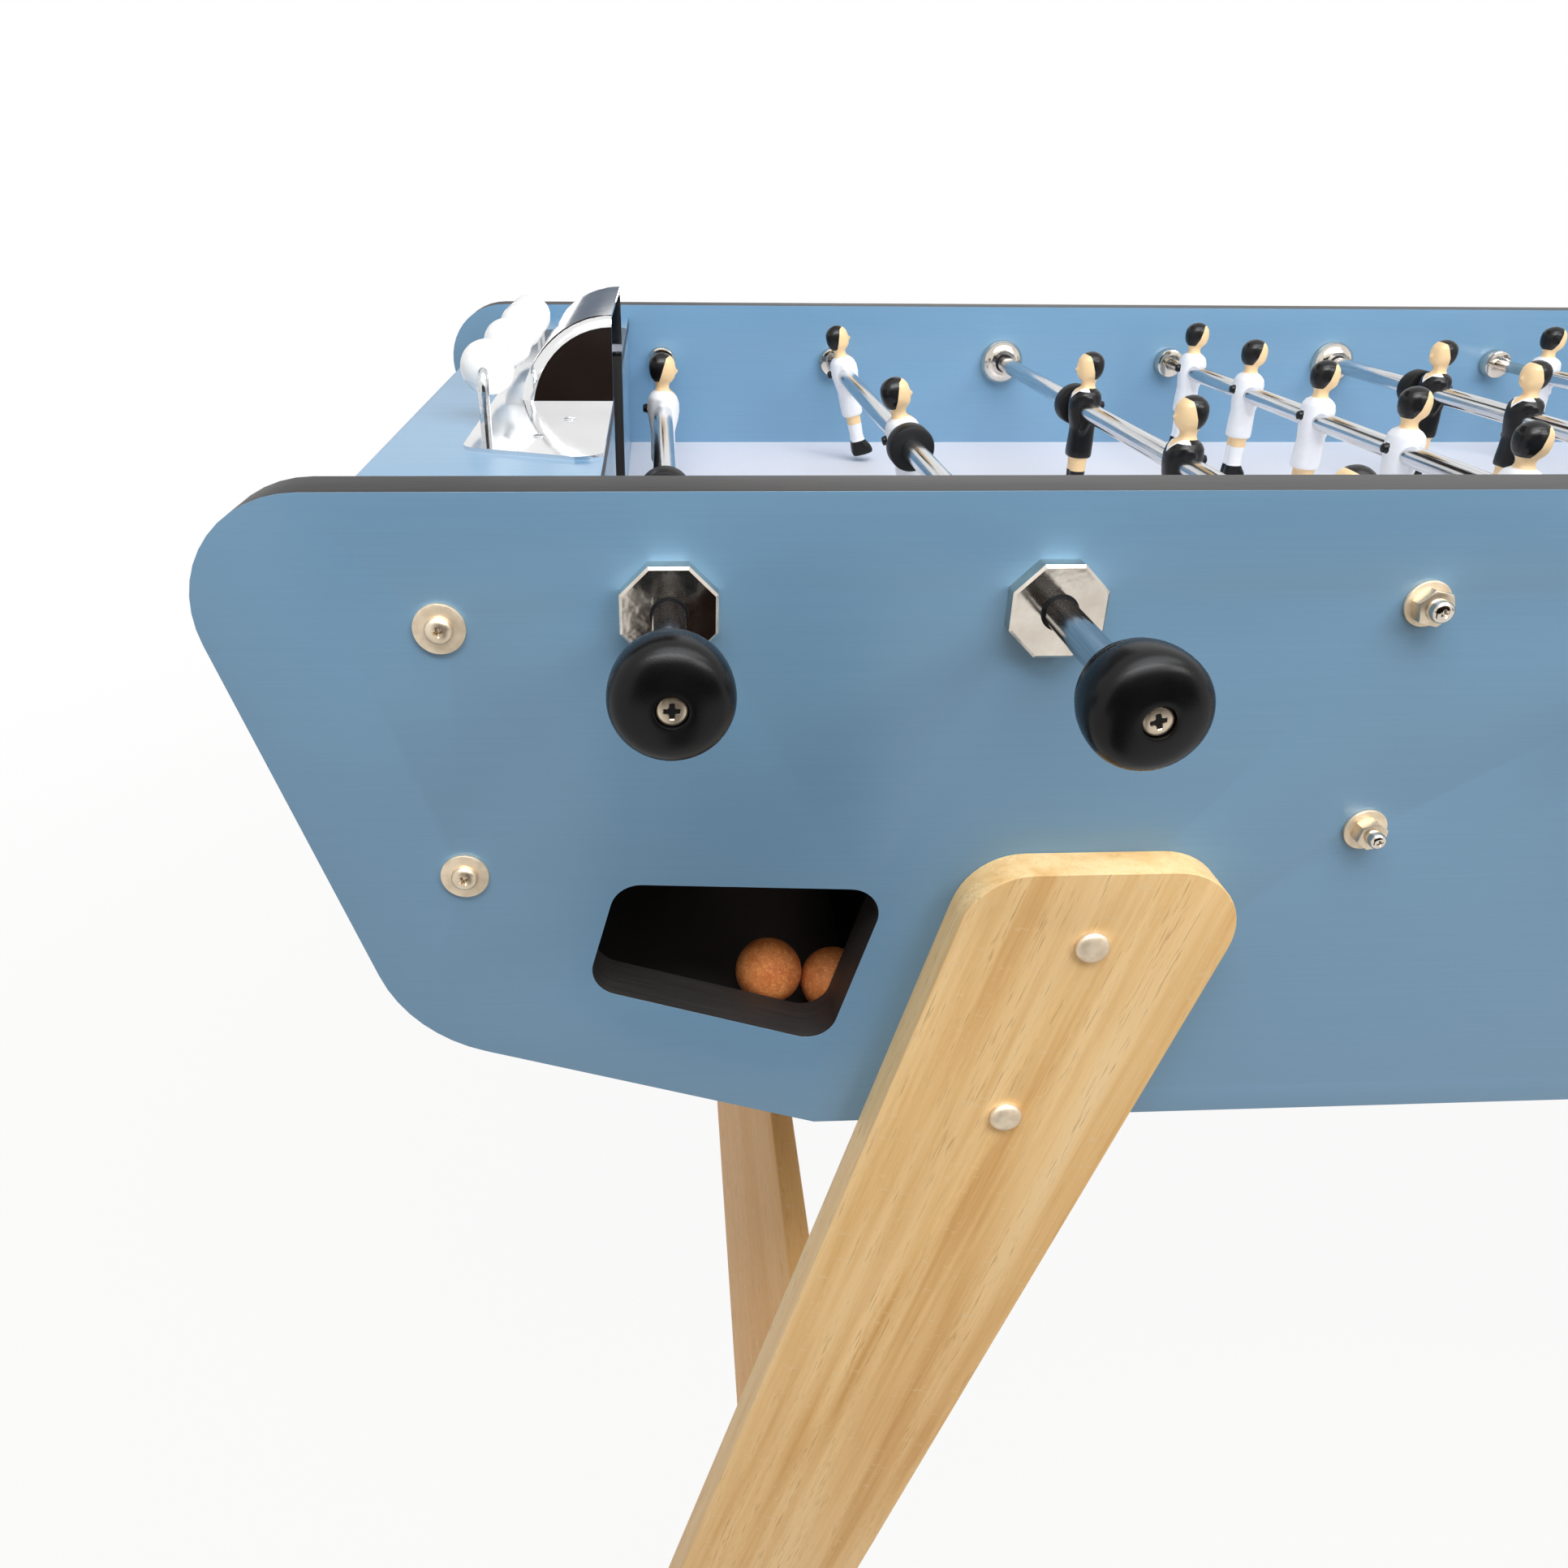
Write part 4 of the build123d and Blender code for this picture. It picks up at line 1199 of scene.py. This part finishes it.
def dress_rods():
    """Fixed rods that end inside their tubes, and tie rods as halves that meet in the middle."""
    proud = 6 * mm
    for name, node_name, radius, places, past_middle in (
        ("anchor_rods", "inner_rods", rod_radius, rod_places, 250 * mm),
        ("cross_tie_rods", "tie_rods", tie_rod_radius, tie_places, 0.0),
    ):
        length = nut_face + proud + past_middle
        profile = [
            (radius, 0.0),
            (radius, length - 2.2 * mm),
            (radius * 0.93, length - 1.1 * mm),
            (radius * 0.74, length - 0.35 * mm),
            (radius * 0.5, length),
            (0.0, length),
        ]
        rod = piece_from(lathe(profile, 32), "rod pattern")
        cross = cross_cutter(reach=radius * 0.5, width=radius * 0.14, depth=1.6 * mm, top=length)
        carve(rod, cross)
        smooth(rod.data)
        rods = both_sides(places, -past_middle)
        place_pieces(name, rod, rods, casting_finish, "steel", [node_name], roll=pi / 2, seed=13)
        bpy.data.objects.remove(rod)


dress_screws()
dress_anchors()
dress_plates()
dress_rods()


# Stage, light and camera
def floor_finish():
    """White floor that keeps a soft shadow near the table."""
    material = bpy.data.materials.new("floor")
    material.use_nodes = True
    sheet = NodeSheet(material.node_tree)
    sheet.tree.nodes.clear()
    x, y, _ = sheet.axes(sheet.place())
    away = x.maths("SQRT", x * x + y * y)
    far = sheet.smooth_step(away, 1.0, 2.6)
    white = sheet.node("ShaderNodeEmission", {}, {"Color": (1, 1, 1, 1)})
    matt = sheet.node("ShaderNodeBsdfDiffuse", {}, {"Color": (0.41, 0.32, 0.24, 1)})
    share = sheet.seen() * (0.94 + far * 0.06)
    floor = sheet.node("ShaderNodeMixShader", {}, {0: share, 1: matt, 2: white})
    sheet.node("ShaderNodeOutputMaterial", {}, {"Surface": floor})
    return material


def studio():
    """Soft even light, with white where the world is looked at."""
    world = bpy.data.worlds.new("studio")
    world.use_nodes = True
    bpy.context.scene.world = world
    sheet = NodeSheet(world.node_tree)
    sheet.tree.nodes.clear()
    white = sheet.node("ShaderNodeBackground", {}, {"Color": (1, 1, 1, 1), "Strength": 1.0})
    soft = sheet.node("ShaderNodeBackground", {}, {"Color": (0.95, 0.97, 1, 1), "Strength": 0.5})
    both = sheet.node("ShaderNodeMixShader", {}, {0: sheet.seen(), 1: soft, 2: white})
    sheet.node("ShaderNodeOutputWorld", {}, {"Surface": both})


def card(name, y, across, up, colour):
    """Upright sheet out of view, which only glossy surfaces show."""
    corners = zip((*across, *across[::-1]), (up[0], up[0], up[1], up[1]))
    bm = bmesh.new()
    bm.faces.new([bm.verts.new((x, y, z)) for x, z in corners])
    sheet = piece_from(bm, name)
    matt = Finish(name, Roughness=1.0, Specular_IOR_Level=0.0)
    matt.shader.inputs["Base Color"].default_value = colour
    sheet.data.materials.append(matt.material)
    sheet.visible_camera = False
    sheet.visible_diffuse = False
    sheet.visible_shadow = False
    sheet.visible_transmission = False
    bpy.context.scene.collection.objects.link(sheet)


def lamp(name, place, aim, size, power, colour, lights_matt=True):
    """Soft oval lamp out of view. One that leaves matt surfaces alone only adds a glint."""
    light = bpy.data.lights.new(name, "AREA")
    light.shape = "ELLIPSE"
    light.size, light.size_y = size
    light.energy = power
    light.color = colour
    piece = bpy.data.objects.new(name, light)
    piece.visible_camera = False
    piece.visible_diffuse = lights_matt
    piece.location = place
    piece.rotation_euler = (Vector(aim) - Vector(place)).to_track_quat("-Z", "Y").to_euler()
    bpy.context.scene.collection.objects.link(piece)


def camera():
    """The photograph's viewpoint, from a fit to the table's edges and bearings."""
    view = bpy.data.cameras.new("camera")
    view.sensor_width = 36.0
    view.lens = view.sensor_width * focal_pixels / picture_pixels
    view.shift_x = (picture_pixels / 2 - centre_pixel[0]) / picture_pixels
    view.shift_y = (centre_pixel[1] - picture_pixels / 2) / picture_pixels
    view.clip_start = 0.01
    piece = bpy.data.objects.new("camera", view)
    turn = Matrix.Rotation(-heading, 3, "Z")
    turn = turn @ Matrix.Rotation(pi / 2 - tilt, 3, "X")
    turn = turn @ Matrix.Rotation(-roll, 3, "Z")
    piece.rotation_euler = turn.to_euler()
    piece.location = camera_place
    bpy.context.scene.collection.objects.link(piece)
    bpy.context.scene.camera = piece


picture_pixels = 1932
focal_pixels = 1447.0
centre_pixel = (890.9, 937.4)
camera_place = (-580.6 * mm, -840.2 * mm, 997.2 * mm)
heading = 0.0567
tilt = 0.4686
roll = -0.0118
brown = shade(44, 33, 28)
slate = shade(120, 132, 148)
floor_half_width = 9
sky_place = (-0.5, -1.35, 2.5)
sky_aim = (-0.4, -0.1, 0.8)
sky_size = (2.4, 0.5)
sky_colour = (0.97, 0.98, 1.0)

bm = bmesh.new()
bmesh.ops.create_grid(bm, x_segments=1, y_segments=1, size=floor_half_width)
floor = piece_from(bm, "floor")
floor.data.materials.append(floor_finish())
bpy.context.scene.collection.objects.link(floor)
card("high_card", -1.0, (-0.95, 0.35), (0.66, 1.3), brown)
card("low_card", -1.0, (-0.615, -0.36), (0.0, 0.66), brown)
card("back_card", 1.6, (-1.3, -0.5), (0.9, 1.08), slate)
card("left_card", 1.6, (-2.8, -0.35), (1.6, 2.8), brown)
studio()
lamp("key", (1.6, -2.2, 2.6), (-0.3, -0.2, 0.8), (1.4, 1.4), 28, (1.0, 0.98, 0.95))
lamp("sky", sky_place, sky_aim, sky_size, 27, sky_colour)
lamp("sheen", sky_place, sky_aim, sky_size, 90, sky_colour, lights_matt=False)
lamp("top", (0.0, -0.5, 2.3), (0.0, 0.0, 0.8), (2.4, 0.8), 15, (0.96, 0.98, 1.0))
lamp("rear", (0.0, 2.6, 0.6), (0.0, 0.4, 0.6), (2.4, 0.8), 20, (1.0, 0.99, 0.97))
camera()
bpy.context.scene.view_settings.view_transform = "Standard"
